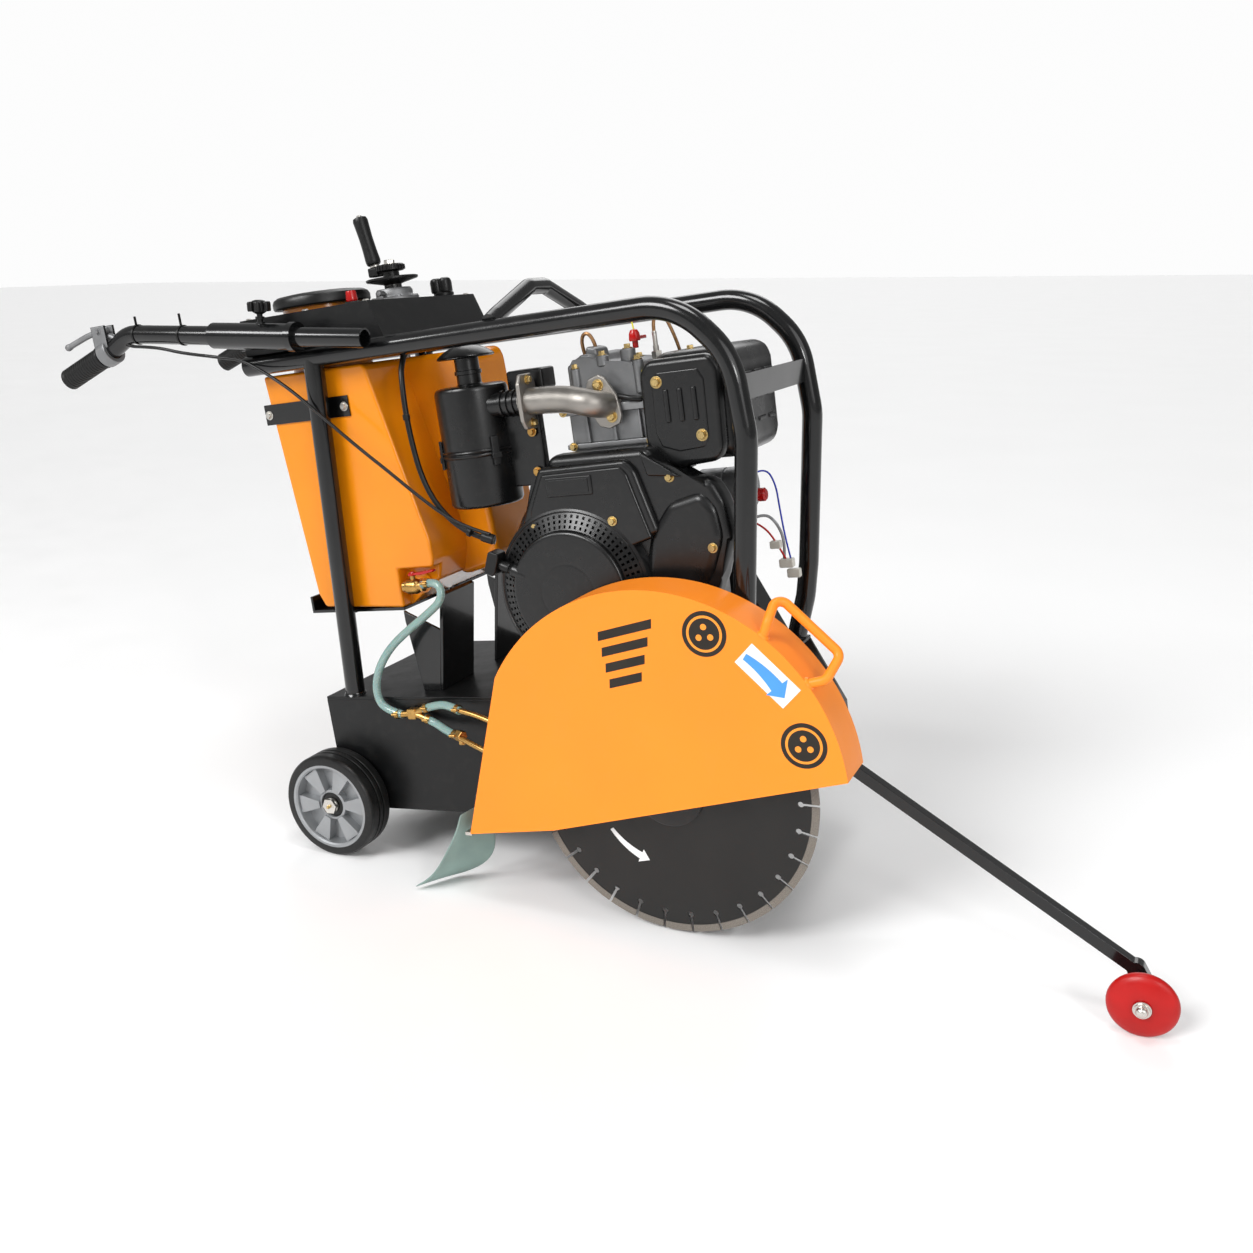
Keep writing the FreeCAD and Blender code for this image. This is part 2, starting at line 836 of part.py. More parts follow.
def lever_perch(y):
    """The cast clamp on the handlebar with the cheeks that hold the throttle lever."""
    clamp = swept([grip_line(y, -6), grip_line(y, 16)], 24)[0]
    clamp = clamp.cut(swept([grip_line(y, -10), grip_line(y, 20)], float(D.bar_radius) + 0.1)[0])
    clamp = clamp.cut(Part.makeBox(60, 60, 60, Vector(-375, float(y) + 14, 850)))
    x, z = lever_pivot()
    for low in (float(y) - 17, float(y) + 4):
        cheek = Part.makeBox(34, 4, 44, Vector(x - 17, low, z - 34))
        clamp = clamp.fuse(cheek)
    core = swept([grip_line(y, -30), grip_line(y, 40)], float(D.bar_radius) + 0.1)[0]
    pin_hole = Part.makeCylinder(3.05, 60, Vector(x, float(y) - 30, z), Vector(0, 1, 0))
    return shaped(clamp.cut(core).cut(pin_hole), "LeverPerch")


def lever_pivot():
    return -352.0, 924.0


def throttle_lever():
    """The hand lever above the near grip, on its pivot pin."""
    y = -float(D.bar_half) - 4.5
    x, z = lever_pivot()
    blade = swept([(x, y, z), (x - 30, y, z - 1), (x - 78, y, z - 12), (x - 118, y, z - 20)], 6, 60)[0]
    hub = Part.makeCylinder(9, 16, Vector(x, y - 8, z), Vector(0, 1, 0))
    pin = Part.makeCylinder(3, 34, Vector(x, y - 16, z), Vector(0, 1, 0))
    node("throttle_lever", shaped(blade.fuse(hub).fuse(pin).removeSplitter(), "ThrottleLever"))


# ---------------------------------------------------------------- tank and console


def water_tank():
    """The moulded water tank, with a tunnel for the depth screw and a filler neck."""
    half = D.tank_half
    side = [
        (-52, 800),
        (-20, 388),
        (-8, 362),
        (172, 356),
        (240, 400),
        (253, 442),
        (252, 481),
        (178, 792),
        (170, 800),
    ]
    shell = slab("XZ", (-half, half), side, (), "TankShell")
    nose = [(160, 800), (292, 800), (300, 780), (318, 430), (240, 400), (200, 420)]
    bulge = slab("XZ", (-34, half - 20), nose, (), "TankBulge")
    neck = rod("Z", 74, (799, 930), (D.lid_x, D.lid_y), "FillerNeck")
    tunnel = rod("Z", 25, (300, 900), (D.screw_x, 0), "ScrewTunnel")
    mouth = rod("Z", 70, (790, 950), (D.lid_x, D.lid_y), "FillerMouth")
    recess = box((172, 262), (-half - 1, -half + 30), (372, 428), "ValveRecess")
    recess_wall = box((167, 262), (-half - 1, -half + 35), (367, 433), "RecessWall")
    tunnel_wall = rod("Z", 30, (300, 900), (D.screw_x, 0), "TunnelWall")
    side_room = [(-46, 795), (-15, 389), (-5, 367), (170, 361), (235, 403), (248, 443), (246, 481), (173, 795)]
    nose_room = [(160, 795), (289, 795), (295, 779), (313, 433), (240, 405), (200, 420)]
    rooms = fuse([
        slab("XZ", (-half + 5, half - 5), side_room, (), "TankRoom"),
        slab("XZ", (-29, half - 25), nose_room, (), "BulgeRoom"),
    ], "TankRooms")
    water = cut(rooms, [recess_wall, tunnel_wall], "WaterSpace")
    solid = fuse([shell, bulge, neck], "TankSolid")
    node("water_tank", cut(solid, [water, tunnel, mouth, recess], "WaterTank"))


def tank_support():
    """The tray under the tank, its two folded front brackets and the strap around its rear."""
    half = D.tank_half
    tray = box((-44, 170), (-half + 4, half - 4), (350, 355.5), "Tray")
    tray = cut(tray, [rod("Z", 25, (340, 360), (D.screw_x, 0), "TrayHole")], "TrayDrilled")
    parts = [tray, box((-44, -39), (-half + 4, half - 4), (355.5, 382), "TrayLip")]
    web = [(222, 197), (228, 197), (262, 376), (256, 380), (246, 330)]
    flange = [(186, 197), (222, 197), (244, 312), (176, 346), (170, 350), (170, 330)]
    for low, high, edge in ((-152, -44, -152), (44, 152, 146)):
        parts.append(slab("XZ", (low, high), web, (), "BracketWeb"))
        parts.append(slab("XZ", (edge, edge + 6), flange, (), "BracketFlange"))
    for sign in (-1, 1):
        parts.append(box((-60, 132), sorted((sign * 152.2, sign * 155.2)), (712, 749), "StrapSide"))
        bar = sorted((sign * 147.0, sign * 157.0))
        parts.append(box((44, 64), bar, (350, 355.5), "TrayBar"))
    parts.append(box((-60, -57), (-152.2, 152.2), (712, 749), "StrapRear"))
    node("tank_support", group(parts, "TankSupport"))


def console_box():
    """The folded control console that caps the rear of the cage."""
    half, top = D.cage_half, D.console_top
    low = D.rail_height + D.tube_radius
    outside = [(-60, low), (-60, top), (224, top), (247, low)]
    inside = [(-57.5, low - 5), (-57.5, top - 2.5), (222.5, top - 2.5), (246, low - 5)]
    shell = slab("XZ", (-half, half), outside, (), "ConsoleOutside")
    room = slab("XZ", (-half + 2.5, half - 2.5), inside, (), "ConsoleInside")
    holes = [
        rod("Z", 78, (890, 920), (D.lid_x, D.lid_y), "NeckHole"),
        rod("Z", 22, (890, 920), (D.screw_x, 0), "ScrewHole"),
        rod("Z", 9, (890, 920), STOP_AT, "StopHole"),
        rod("Z", 5.05, (890, 920), DIAL_AT, "DialHole"),
    ]
    node("console_box", cut(shell, [room] + holes, "Console"))


STOP_AT = (148, -112)
DIAL_AT = (205, 100)


def tank_lid():
    at = (D.lid_x, D.lid_y)
    cap = rod("Z", D.lid_radius, (908, 938), at, "LidCap")
    hollow = rod("Z", 74.6, (900, 930.4), at, "LidHollow")
    node("tank_lid", cut(cap, [hollow], "TankLid"))


def stop_button():
    """The red stop button: a mushroom head on a stem that slides in the console."""
    head = rod("Z", 13, (917, 930), STOP_AT, "StopHead")
    stem = rod("Z", 8.95, (888, 918), STOP_AT, "StopStem")
    node("stop_button", fuse([head, stem], "StopButton"))


def throttle_dial():
    """The black selector knob on the console, with its finger bar."""
    skirt = rod("Z", 19, (904, 912), DIAL_AT, "DialSkirt")
    bar = box((DIAL_AT[0] - 7, DIAL_AT[0] + 7), (DIAL_AT[1] - 17, DIAL_AT[1] + 17), (911, 931), "DialBar")
    stem = rod("Z", 5, (892, 906), DIAL_AT, "DialStem")
    node("throttle_dial", fuse([skirt, bar, stem], "ThrottleDial"))


# ---------------------------------------------------------------- engine


def engine_crankcase():
    """The crankcase with its feet and the oil sump under it."""
    block = box((440, 700), (-64, 140), (215, 500), "CrankcaseBlock")
    sump = box((455, 685), (-50, 120), (203, 216), "Sump")
    feet = [box((414, 726), (y, y + 40), (197, 216), "Foot") for y in (-64, 100)]
    seal = rod("Y", 40, (139, 150), (D.crank_x, D.crank_z), "SealBoss")
    bore = rod("Y", 12.75, (100, 160), (D.crank_x, D.crank_z), "CrankBore")
    node("engine_crankcase", cut(fuse([block, sump, seal] + feet, "CaseSolid"), [bore], "Crankcase"))


def engine_cylinder():
    """The finned barrel and the cylinder head with its rocker cover."""
    parts = [box((540, 672), (-96, 50), (500, 672), "Barrel")]
    for fin in range(9):
        low = 512 + fin * 17
        parts.append(box((526, 686), (-110, 62), (low, low + 5), "Fin"))
    parts.append(box((524, 688), (-112, 64), (671, 712), "Head"))
    parts.append(box((536, 676), (-92, 48), (711, 762), "RockerCover"))
    node("engine_cylinder", fuse(parts, "Cylinder"))


def engine_shroud():
    """The blower housing that guides the cooling air, with the raised panel over it."""
    outline = [
        (498, 562),
        (450, 509),
        (410, 440),
        (407, 378),
        (420, 330),
        (470, 262),
        (640, 240),
        (760, 262),
        (805, 389),
        (836, 452),
        (827, 513),
        (807, 551),
        (739, 556),
        (706, 608),
        (520, 608),
    ]
    panel = [(509, 584), (661, 587), (675, 573), (700, 470), (640, 480), (470, 480)]
    body = slab("XZ", (-165, -112.5), outline, (), "ShroudBody")
    raised = slab("XZ", (-175, -164), panel, (), "ShroudPanel")
    lip = rod("Y", 127, (-175, -160), (D.crank_x, D.crank_z), "ShroudRing")
    fan = rod("Y", 100, (-176, -100), (D.crank_x, D.crank_z), "FanSpace")
    node("engine_shroud", cut(fuse([body, raised, lip], "ShroudSolid"), [fan], "Shroud"))


def recoil_cover():
    """The round pull-start cover over the fan, with its vent slots and the rope's eye."""
    at = (D.crank_x, D.crank_z)
    dish = rod("Y", D.recoil_radius, (-195, -175.2), at, "RecoilDish")
    room = rod("Y", D.recoil_radius - 4, (-191, -170), at, "RecoilRoom")
    hub = rod("Y", 30, (-191.5, -180), at, "RecoilHub")
    eye = shaped(swept([rope_point(-2), rope_point(12)], 11)[0], "RopeEye")
    rope_hole = shaped(swept([rope_point(-20), rope_point(20)], 3.3)[0], "RopeHole")
    solid = fuse([cut(dish, [room], "RecoilShell"), hub, eye], "RecoilSolid")
    node("recoil_cover", cut(solid, [rope_hole], "RecoilCover"))


def rope_point(distance):
    """A point on the starter rope's line, measured outward from the cover's rim."""
    angle = math.radians(158)
    reach = float(D.recoil_radius) + distance
    x = float(D.crank_x) + reach * math.cos(angle)
    return x, -186.0, float(D.crank_z) + reach * math.sin(angle)


def recoil_grip():
    """The pull handle with the visible end of the starter rope."""
    rope = swept([rope_point(-64), rope_point(16)], 3)[0]
    neck = swept([rope_point(12.5), rope_point(34)], 8)[0]
    bar = Part.makeBox(22, 30, 42, Vector(-11, -15, -21))
    x, y, z = rope_point(44)
    bar.Placement = Placement(Vector(x, y + 2, z), Rotation(Vector(0, 1, 0), -22))
    node("recoil_grip", shaped(rope.fuse(neck).fuse(bar).removeSplitter(), "RecoilGrip"))


def intake_elbow():
    """The cast elbow from the air filter to the head, with a flange at each end."""
    path = [(484, -132, 700), (556, -145, 697), (606, -148, 684), (619, -112.4, 680)]
    pipe = swept(path, 22.5, 30)[0]
    flange = Part.makeBox(8, 56, 92, Vector(480, -160, 654))
    port = Part.makeBox(92, 8, 52, Vector(-46, -4, -26))
    port.Placement = Placement(Vector(621, -116.6, 685), Rotation(Vector(0, 1, 0), 71))
    solid = pipe.fuse(flange).fuse(port)
    air = swept(path, 18, 30)[0]
    head_side = Part.makeBox(240, 60, 240, Vector(500, -112.6, 570))
    solid = solid.cut(head_side)
    node("intake_elbow", shaped(solid.cut(air).removeSplitter(), "IntakeElbow"))


def air_filter():
    """The canister air filter with its seam, neck and rain cap."""
    profile = [
        (0, 530),
        (64, 530),
        (64, 620),
        (66, 620),
        (66, 628),
        (64, 628),
        (64, 738),
        (21, 738),
        (21, 786),
        (48, 786),
        (26, 803),
        (0, 803),
    ]
    can = turned("Z", profile, "FilterCan")
    can.Placement = Placement(Vector(364, -112, 0), Rotation())
    outlet = rod("X", 20, (415, 479.9), (-132, 700), "FilterOutlet")
    parts = [can, outlet]
    node("air_filter", fuse(parts, "AirFilter"))


def muffler():
    """The exhaust box with its inlet pipe and a tail pipe on the far side."""
    shell = box((694, 850), (-112, 92), (572, 750), "MufflerBox")
    rounded = doc.addObject("Part::Fillet", "MufflerRounded")
    rounded.Base = shell
    doc.recompute()
    rounded.Edges = [(number + 1, 18.0, 18.0) for number in range(len(shell.Shape.Edges))]
    inlet = box((688.2, 700), (-60, 20), (676, 708), "ExhaustPort")
    tail = rod("Y", 17, (90, 128), (800, 640), "TailPipe")
    bore = rod("Y", 14, (70, 140), (800, 640), "TailBore")
    node("muffler", cut(fuse([rounded, inlet, tail], "MufflerSolid"), [bore], "Muffler"))


def starter_motor():
    """The electric starter on the crankcase, with its solenoid above."""
    parts = [
        rod("X", 38, (700, 800), (62, 500), "StarterBody"),
        rod("X", 19, (706, 786), (62, 444), "Solenoid"),
        box((700, 712), (36, 88), (425, 500), "StarterBracket"),
    ]
    node("starter_motor", fuse(parts, "Starter"))


def decompression_lever():
    """The small lever on the rocker cover that eases hand starting."""
    post = rod("Z", 5, (762.3, 778), (662, -60), "DecompPost")
    arm = box((656, 668), (-66, -20), (776, 782), "DecompArm")
    node("decompression_lever", fuse([post, arm], "DecompLever"))


# ---------------------------------------------------------------- belt drive and blade shaft


BELT_SIDES = (212.5, 226.0, 239.5)


def loop(first, first_radius, second, second_radius, span):
    """The closed outline of a belt around two round pulleys, as a solid between two Y values."""
    first = Vector(float(first[0]), float(span[0]), float(first[1]))
    second = Vector(float(second[0]), float(span[0]), float(second[1]))
    line = second - first
    tilt = math.acos((first_radius - second_radius) / line.Length)
    heading = math.atan2(line.z, line.x)

    def rim(centre, radius, angle):
        return centre + Vector(radius * math.cos(angle), 0, radius * math.sin(angle))

    upper, lower = heading + tilt, heading - tilt
    edges = [
        Part.LineSegment(rim(first, first_radius, upper), rim(second, second_radius, upper)).toShape(),
        Part.Arc(rim(second, second_radius, upper), rim(second, second_radius, heading),
                 rim(second, second_radius, lower)).toShape(),
        Part.LineSegment(rim(second, second_radius, lower), rim(first, first_radius, lower)).toShape(),
        Part.Arc(rim(first, first_radius, lower), rim(first, first_radius, heading + math.pi),
                 rim(first, first_radius, upper)).toShape(),
    ]
    face = Part.Face(Part.Wire(edges))
    return face.extrude(Vector(0, float(span[1]) - float(span[0]), 0))


def drive_belts():
    crank = (D.crank_x, D.crank_z)
    arbor = (D.arbor_x, D.arbor_z)
    half, depth = float(D.belt_width) / 2, float(D.belt_depth)
    belts = []
    for middle in BELT_SIDES:
        span = (middle - half, middle + half)
        tops = (float(D.drive_pulley) - 0.5, float(D.driven_pulley) - 0.5)
        outside = loop(crank, tops[0], arbor, tops[1], span)
        inside = loop(crank, tops[0] - depth, arbor, tops[1] - depth, span)
        belts.append(shaped(outside.cut(inside), "Belt"))
    node("drive_belts", group(belts, "DriveBelts"))


def pulley(radius, name):
    """A three-groove pulley with its bore left full."""
    low, high = -20, 20
    floor = radius - 10.2
    half = D.belt_width / 2 + 0.4
    profile = [(0, low), (radius, low)]
    for middle in (-13.5, 0.0, 13.5):
        profile.append((radius, middle - half))
        profile.append((floor, middle - half))
        profile.append((floor, middle + half))
        profile.append((radius, middle + half))
    profile += [(radius, high), (0, high)]
    return turned("Y", profile, name)


def engine_pulley():
    """The drive pulley on the engine's output shaft."""
    wheel = pulley(D.drive_pulley, "DrivePulleyWheel")
    wheel.Placement = Placement(Vector(float(D.crank_x), 226, float(D.crank_z)), Rotation())
    shaft = rod("Y", 12.7, (110, 207), (D.crank_x, D.crank_z), "OutputShaft")
    node("engine_pulley", fuse([wheel, shaft], "EnginePulley"))


def arbor_pulley():
    wheel = pulley(D.driven_pulley, "DrivenPulleyWheel")
    wheel.Placement = Placement(Vector(float(D.arbor_x), 226, float(D.arbor_z)), Rotation())
    seat = rod("Y", D.arbor_radius, (200, 250), (D.arbor_x, D.arbor_z), "PulleySeat")
    node("arbor_pulley", cut(wheel, [seat], "ArborPulley"))


def belt_guard():
    """The closed sheet-metal box over the belts, with a hole for each shaft."""
    crank = (D.crank_x, D.crank_z)
    arbor = (D.arbor_x, D.arbor_z)
    outside = loop(crank, 116.0, arbor, 103.0, (193.1, 258))
    inside = loop(crank, 113.5, arbor, 100.5, (195.6, 255.5))
    holes = [
        rod("Y", 30, (190, 197), crank, "CrankHole"),
        rod("Y", 27, (190, 197), arbor, "ArborHole"),
    ]
    shell = shaped(outside.cut(inside), "GuardShell")
    node("belt_guard", cut(shell, holes, "BeltGuard"))


def arbor_bearings():
    """Two flanged bearing housings inside the side panels."""
    half = D.chassis_half - D.plate
    housings = []
    for sign in (-1, 1):
        y = sorted((sign * half, sign * (half - 14)), key=float)
        flange = box((D.arbor_x - 40, D.arbor_x + 40), y, (D.arbor_z - 40, D.arbor_z + 40), "BearingFlange")
        hub_y = sorted((sign * half, sign * (half - 27)), key=float)
        hub = rod("Y", 32, hub_y, (D.arbor_x, D.arbor_z), "BearingHub")
        bore_y = sorted((sign * (half + 5), sign * (half - 40)), key=float)
        bore = rod("Y", D.arbor_radius + D.running, bore_y, (D.arbor_x, D.arbor_z), "BearingBore")
        housings.append(cut(fuse([flange, hub], "Housing"), [bore], "Bearing"))
    node("arbor_bearings", group(housings, "Bearings"))


def blade_arbor():
    """The blade's shaft, from the blade nut's thread to the driven pulley."""
    at = (D.arbor_x, D.arbor_z)
    shaft = rod("Y", D.arbor_radius, (-D.blade_side - 30, 248), at, "ArborShaft")
    shoulder = rod("Y", 24, (-D.blade_side + 12.4, -D.blade_side + 22), at, "ArborShoulder")
    node("blade_arbor", fuse([shaft, shoulder], "Arbor"))


def blade_flanges():
    """The inner and outer clamping flanges and the blade nut."""
    at = (D.arbor_x, D.arbor_z)
    half = D.blade_core / 2
    face = -D.blade_side
    inner = ring("Y", D.flange_radius, D.arbor_radius, (face + half, face + 12.4), at, "InnerFlange")
    outer = ring("Y", D.flange_radius, D.arbor_radius, (face - 12, face - half), at, "OuterFlange")
    nut = hexagon("Y", 50, (-D.blade_side - 28, -D.blade_side - 12), at, "BladeNut")
    thread = rod("Y", D.arbor_radius, (-D.blade_side - 40, -D.blade_side), at, "NutThread")
    nut = cut(nut, [thread], "BladeNutTapped")
    node("blade_flanges", group([inner, outer, nut], "BladeFlanges"))


def saw_blade():
    """A steel core with gullets, and a diamond segment brazed between each pair of gullets."""
    count = int(float(D.segment_count))
    half, reach = float(D.blade_core) / 2, float(D.blade_radius)
    root = reach - float(D.segment_height)
    blade = Part.makeCylinder(root, 2 * half, Vector(0, -half, 0), Vector(0, 1, 0))
    wide = float(D.segment_width) / 2
    band = Part.makeCylinder(reach, 2 * wide, Vector(0, -wide, 0), Vector(0, 1, 0))
    band = band.cut(Part.makeCylinder(root - 1, 4 * wide, Vector(0, -2 * wide, 0), Vector(0, 1, 0)))
    blade = blade.fuse(band)
    cuts = []
    for number in range(count):
        slot = Part.makeBox(32, 10, 4.6, Vector(reach - 30, -5, -2.3))
        eye = Part.makeCylinder(5, 10, Vector(reach - 30, -5, 0), Vector(0, 1, 0))
        for tool in (slot, eye):
            tool.rotate(Vector(), Vector(0, 1, 0), 360.0 * number / count + 4)
            cuts.append(tool)
    bore = Part.makeCylinder(float(D.arbor_radius), 20, Vector(0, -10, 0), Vector(0, 1, 0))
    blade = blade.cut(cuts + [bore])
    node("saw_blade", shaped(blade, "SawBlade"), (D.arbor_x, -D.blade_side, D.arbor_z))


# ---------------------------------------------------------------- blade guard


def guard_arc(angle, radius):
    x = float(D.guard_x) + radius * math.cos(math.radians(angle))
    return x, float(D.guard_z) + radius * math.sin(math.radians(angle))


GUARD_FIRST, GUARD_LAST = 146, 2.5


def blade_guard():
    """The folded guard over the blade, open underneath and behind, with its lifting handle."""
    reach = float(D.guard_radius)
    inner_reach = reach - float(D.guard_sheet)
    top = (GUARD_FIRST + GUARD_LAST) / 2
    outline = [
        (336, -20),
        guard_arc(GUARD_FIRST, reach),
        arc_to(guard_arc(GUARD_LAST, reach), guard_arc(top, reach)),
        (505, -4),
    ]
    inner_first = guard_arc(GUARD_FIRST, inner_reach)
    room = [
        (250, -80),
        (250, inner_first[1]),
        inner_first,
        arc_to(guard_arc(GUARD_LAST, inner_reach), guard_arc(top, inner_reach)),
        (guard_arc(GUARD_LAST, inner_reach)[0], -80),
    ]
    sheet_gap = D.guard_sheet
    shell = slab("XZ", (-D.guard_outer, -D.guard_inner), outline, (), "GuardOutside")
    space = slab("XZ", (-D.guard_outer + sheet_gap, -D.guard_inner - sheet_gap), room, (), "GuardInside")
    wall = (-D.guard_inner - 6, -D.guard_inner + 4)
    tools = [
        space,
        box((655, 745), wall, (-80, D.arbor_z), "ArborSlot"),
        rod("Y", 45, wall, (700, D.arbor_z), "ArborSlotTop"),
        rod("Y", D.hinge_pin + D.running, wall, (D.hinge_x, D.hinge_z), "HingeHole"),
    ]
    handle = shaped(swept(handle_path(), 7.5, 14)[0], "GuardHandle")
    node("blade_guard", fuse([cut(shell, tools, "GuardSheet"), handle], "BladeGuard"))


def handle_path():
    first = guard_arc(48.9, float(D.guard_radius) - 1)
    last = guard_arc(31.4, float(D.guard_radius) - 1)
    return [
        (first[0], -288, first[1]),
        (first[0] + 9, -286, first[1] + 22),
        (928, -253, 380),
        (1017, -253, 286),
        (last[0] + 26, -284, last[1] + 4),
        (last[0], -288, last[1]),
    ]


# ---------------------------------------------------------------- front guide


def guide_height():
    """The guide wheel's centre, one wheel radius above the floor."""
    lean = math.radians(float(D.pitch))
    drop = float(D.guide_radius) - float(D.wheel_radius) - float(D.guide_x) * math.sin(lean)
    return drop / math.cos(lean)


def guide_arm():
    """The square bar that holds the guide wheel ahead of the blade, in line with the cut."""
    half = float(D.guide_bar) / 2
    side = float(D.guide_side)
    start = Vector(float(D.guide_hinge_x), 0, float(D.guide_hinge_z))
    end = Vector(1406, 0, -221)
    run = end - start
    bar = Part.makeBox(run.Length, 2 * half, 2 * half, Vector(0, -half, -half))
    angle = -math.degrees(math.atan2(run.z, run.x))
    bar.Placement = Placement(start + Vector(0, -side, 0), Rotation(Vector(0, 1, 0), angle))
    eye = Part.makeCylinder(15, 2 * half, start + Vector(0, -side - half, 0), Vector(0, 1, 0))
    pin = Part.makeCylinder(7, 34, start + Vector(0, -side - half - 1, 0), Vector(0, 1, 0))
    axle_at = Vector(float(D.guide_x), 0, guide_height())
    tab = strip((end.x - 8, end.z + 6), (axle_at.x, axle_at.z), 26, (-side - half, -side + half), "AxleTab")
    bolt = Part.makeCylinder(6, 78, axle_at + Vector(0, -side - 78 + half, 0), Vector(0, 1, 0))
    spacer = Part.makeCylinder(11, 38, axle_at + Vector(0, -side - half - 38, 0), Vector(0, 1, 0))
    arm = bar.fuse([eye, pin, tab.Shape, bolt, spacer]).removeSplitter()
    node("guide_arm", shaped(arm, "GuideArm"))


def guide_wheel():
    """The red domed wheel on the end of the guide arm."""
    reach = D.guide_radius
    bore = 6 + D.running
    profile = [
        (bore, 9),
        (16, 9),
        (reach - 6, 5),
        (reach, 2),
        (reach, -4),
        (reach - 6, -8),
        (20, -15),
        (bore, -15),
    ]
    node("guide_wheel", turned("Y", profile, "GuideWheel"), (D.guide_x, -253, guide_height()))


# ---------------------------------------------------------------- water feed


MAIN_HOSE = [
    (232, -166, 400),
    (270, -172, 410),
    (280, -179, 376),
    (246, -187, 350),
    (206, -194, 325),
    (164, -200, 295),
    (132, -204, 257),
    (116, -206, 214),
    (128, -207, 176),
    (168, -207, 168),
]
UPPER_HOSE = [(218, -207, 179), (246, -209, 187), (278, -216, 190), (308, -226, 182)]
LOWER_HOSE = [(218, -207, 161), (243, -210, 152), (272, -224, 143), (304, -240, 140)]


def ball_valve():
    """The brass ball valve in the tank's recess, with its hose barb."""
    at_y, z = -150, 396
    barb = swept([(216, at_y - 6, z), (234, -166.5, 400.5)], 7)[0]
    parts = [
        rod("Y", 9, (at_y, -122.2), (206, z), "ValveInlet"),
        rod("X", 13, (190, 222), (at_y - 6, z), "ValveBody"),
        hexagon("X", 20, (184, 192), (at_y - 6, z), "ValveCap"),
        rod("Z", 6, (z + 8, z + 20), (206, at_y - 6), "ValveStem"),
        shaped(clear_of_hoses(barb), "ValveBarb"),
    ]
    return fuse(parts, "BallValve")


def clear_of_hoses(fitting):
    """A fitting cut back to where each hose begins."""
    for route in (MAIN_HOSE, UPPER_HOSE, LOWER_HOSE):
        fitting = fitting.cut(swept(route, D.hose_radius)[0])
    return max(fitting.Solids, key=lambda solid: solid.Volume)


def valve_lever():
    """The red lever that turns the valve a quarter turn."""
    handle = box((200, 256), (-161, -151), (417, 421), "ValveHandle")
    hub = rod("Z", 8, (416.2, 423), (206, -156), "ValveHub")
    node("valve_lever", fuse([handle, hub], "ValveLever"))


def water_hoses():
    """The main hose from the valve to the Y-piece, and the two short branches."""
    pieces = []
    for name, route in (("main hose", MAIN_HOSE), ("upper hose", UPPER_HOSE), ("lower hose", LOWER_HOSE)):
        pieces.append(shaped(cord(name, route, D.hose_radius), "Hose"))
    node("water_hoses", group(pieces, "WaterHoses"))


def water_fittings():
    """The ball valve, the Y-piece, and the two jet pipes beside the blade on their bracket."""
    side = -207
    inlet = swept([(168, side, 168), (192, side, 170)], 7.6)[0]
    upper = swept([(190, side, 170), (204, side, 172), (218, side, 179)], 6.5, 8)[0]
    lower = swept([(190, side, 170), (204, side, 168), (218, side, 161)], 6.5, 8)[0]
    clip = Part.makeBox(14, 14, 20, Vector(185, side, 160))
    tee = inlet.fuse([upper, lower, clip])
    bracket = Part.makeBox(5, 62, 74, Vector(318, -255, 124))
    jets = [
        [(308, -226, 182), (345, -232, 178), (420, -238, 148), (480, -240, 112)],
        [(304, -240, 140), (345, -258, 132), (425, -276, 106), (478, -276, 88)],
    ]
    pieces = [ball_valve(), shaped(clear_of_hoses(tee.removeSplitter()), "WyePiece")]
    for route in jets:
        pipe = swept(route, 5, 30)[0]
        bracket = bracket.fuse(pipe)
    pieces.append(shaped(clear_of_hoses(bracket), "JetPipes"))
    node("water_fittings", group(pieces, "WaterFittings"))


def splash_flap():
    """The rubber flap behind the guard, curling to the rear, on its clamp strip."""
    path = [(330, -28), (330, -58), (312, -92), (268, -112), (206, -118)]
    half = 1.7
    upper, lower = [], []
    for number, (x, z) in enumerate(path):
        before = path[max(number - 1, 0)]
        after = path[min(number + 1, len(path) - 1)]
        run = Vector(after[0] - before[0], 0, after[1] - before[1]).normalize()
        aside = run.cross(Vector(0, 1, 0)) * half
        upper.append((x + aside.x, z + aside.z))
        lower.append((x - aside.x, z - aside.z))
    flap = slab("XZ", (-290, -212), upper + lower[::-1], (), "SplashFlap")
    node("splash_flap", flap)


# ---------------------------------------------------------------- cables and bolts


THROTTLE_CABLE = [
    (-126, -208, 852),
    (-96, -204, 845),
    (-50, -202, 836),
    (-8, -203, 812),
    (42, -204, 778),
    (88, -204, 738),
    (134, -203, 694),
    (180, -202, 652),
    (228, -200, 610),
    (276, -198, 566),
    (322, -196, 528),
    (366, -192, 502),
    (404, -188, 488),
]
WIRING_LOOM = [
    (268, -150, 806),
    (270, -172, 790),
    (275, -186, 750),
    (276, -190, 700),
    (279, -190, 648),
    (286, -190, 598),
    (302, -188, 552),
    (332, -186, 512),
    (372, -184, 486),
    (404, -174, 472),
]


def control_cables():
    """The throttle cable and the wiring loom between the console and the engine."""
    cable = shaped(cord("throttle cable", THROTTLE_CABLE, D.cable_radius), "ThrottleCable")
    loom = shaped(cord("wiring loom", WIRING_LOOM, D.loom_radius), "WiringLoom")
    node("control_cables", group([cable, loom], "ControlCables"))


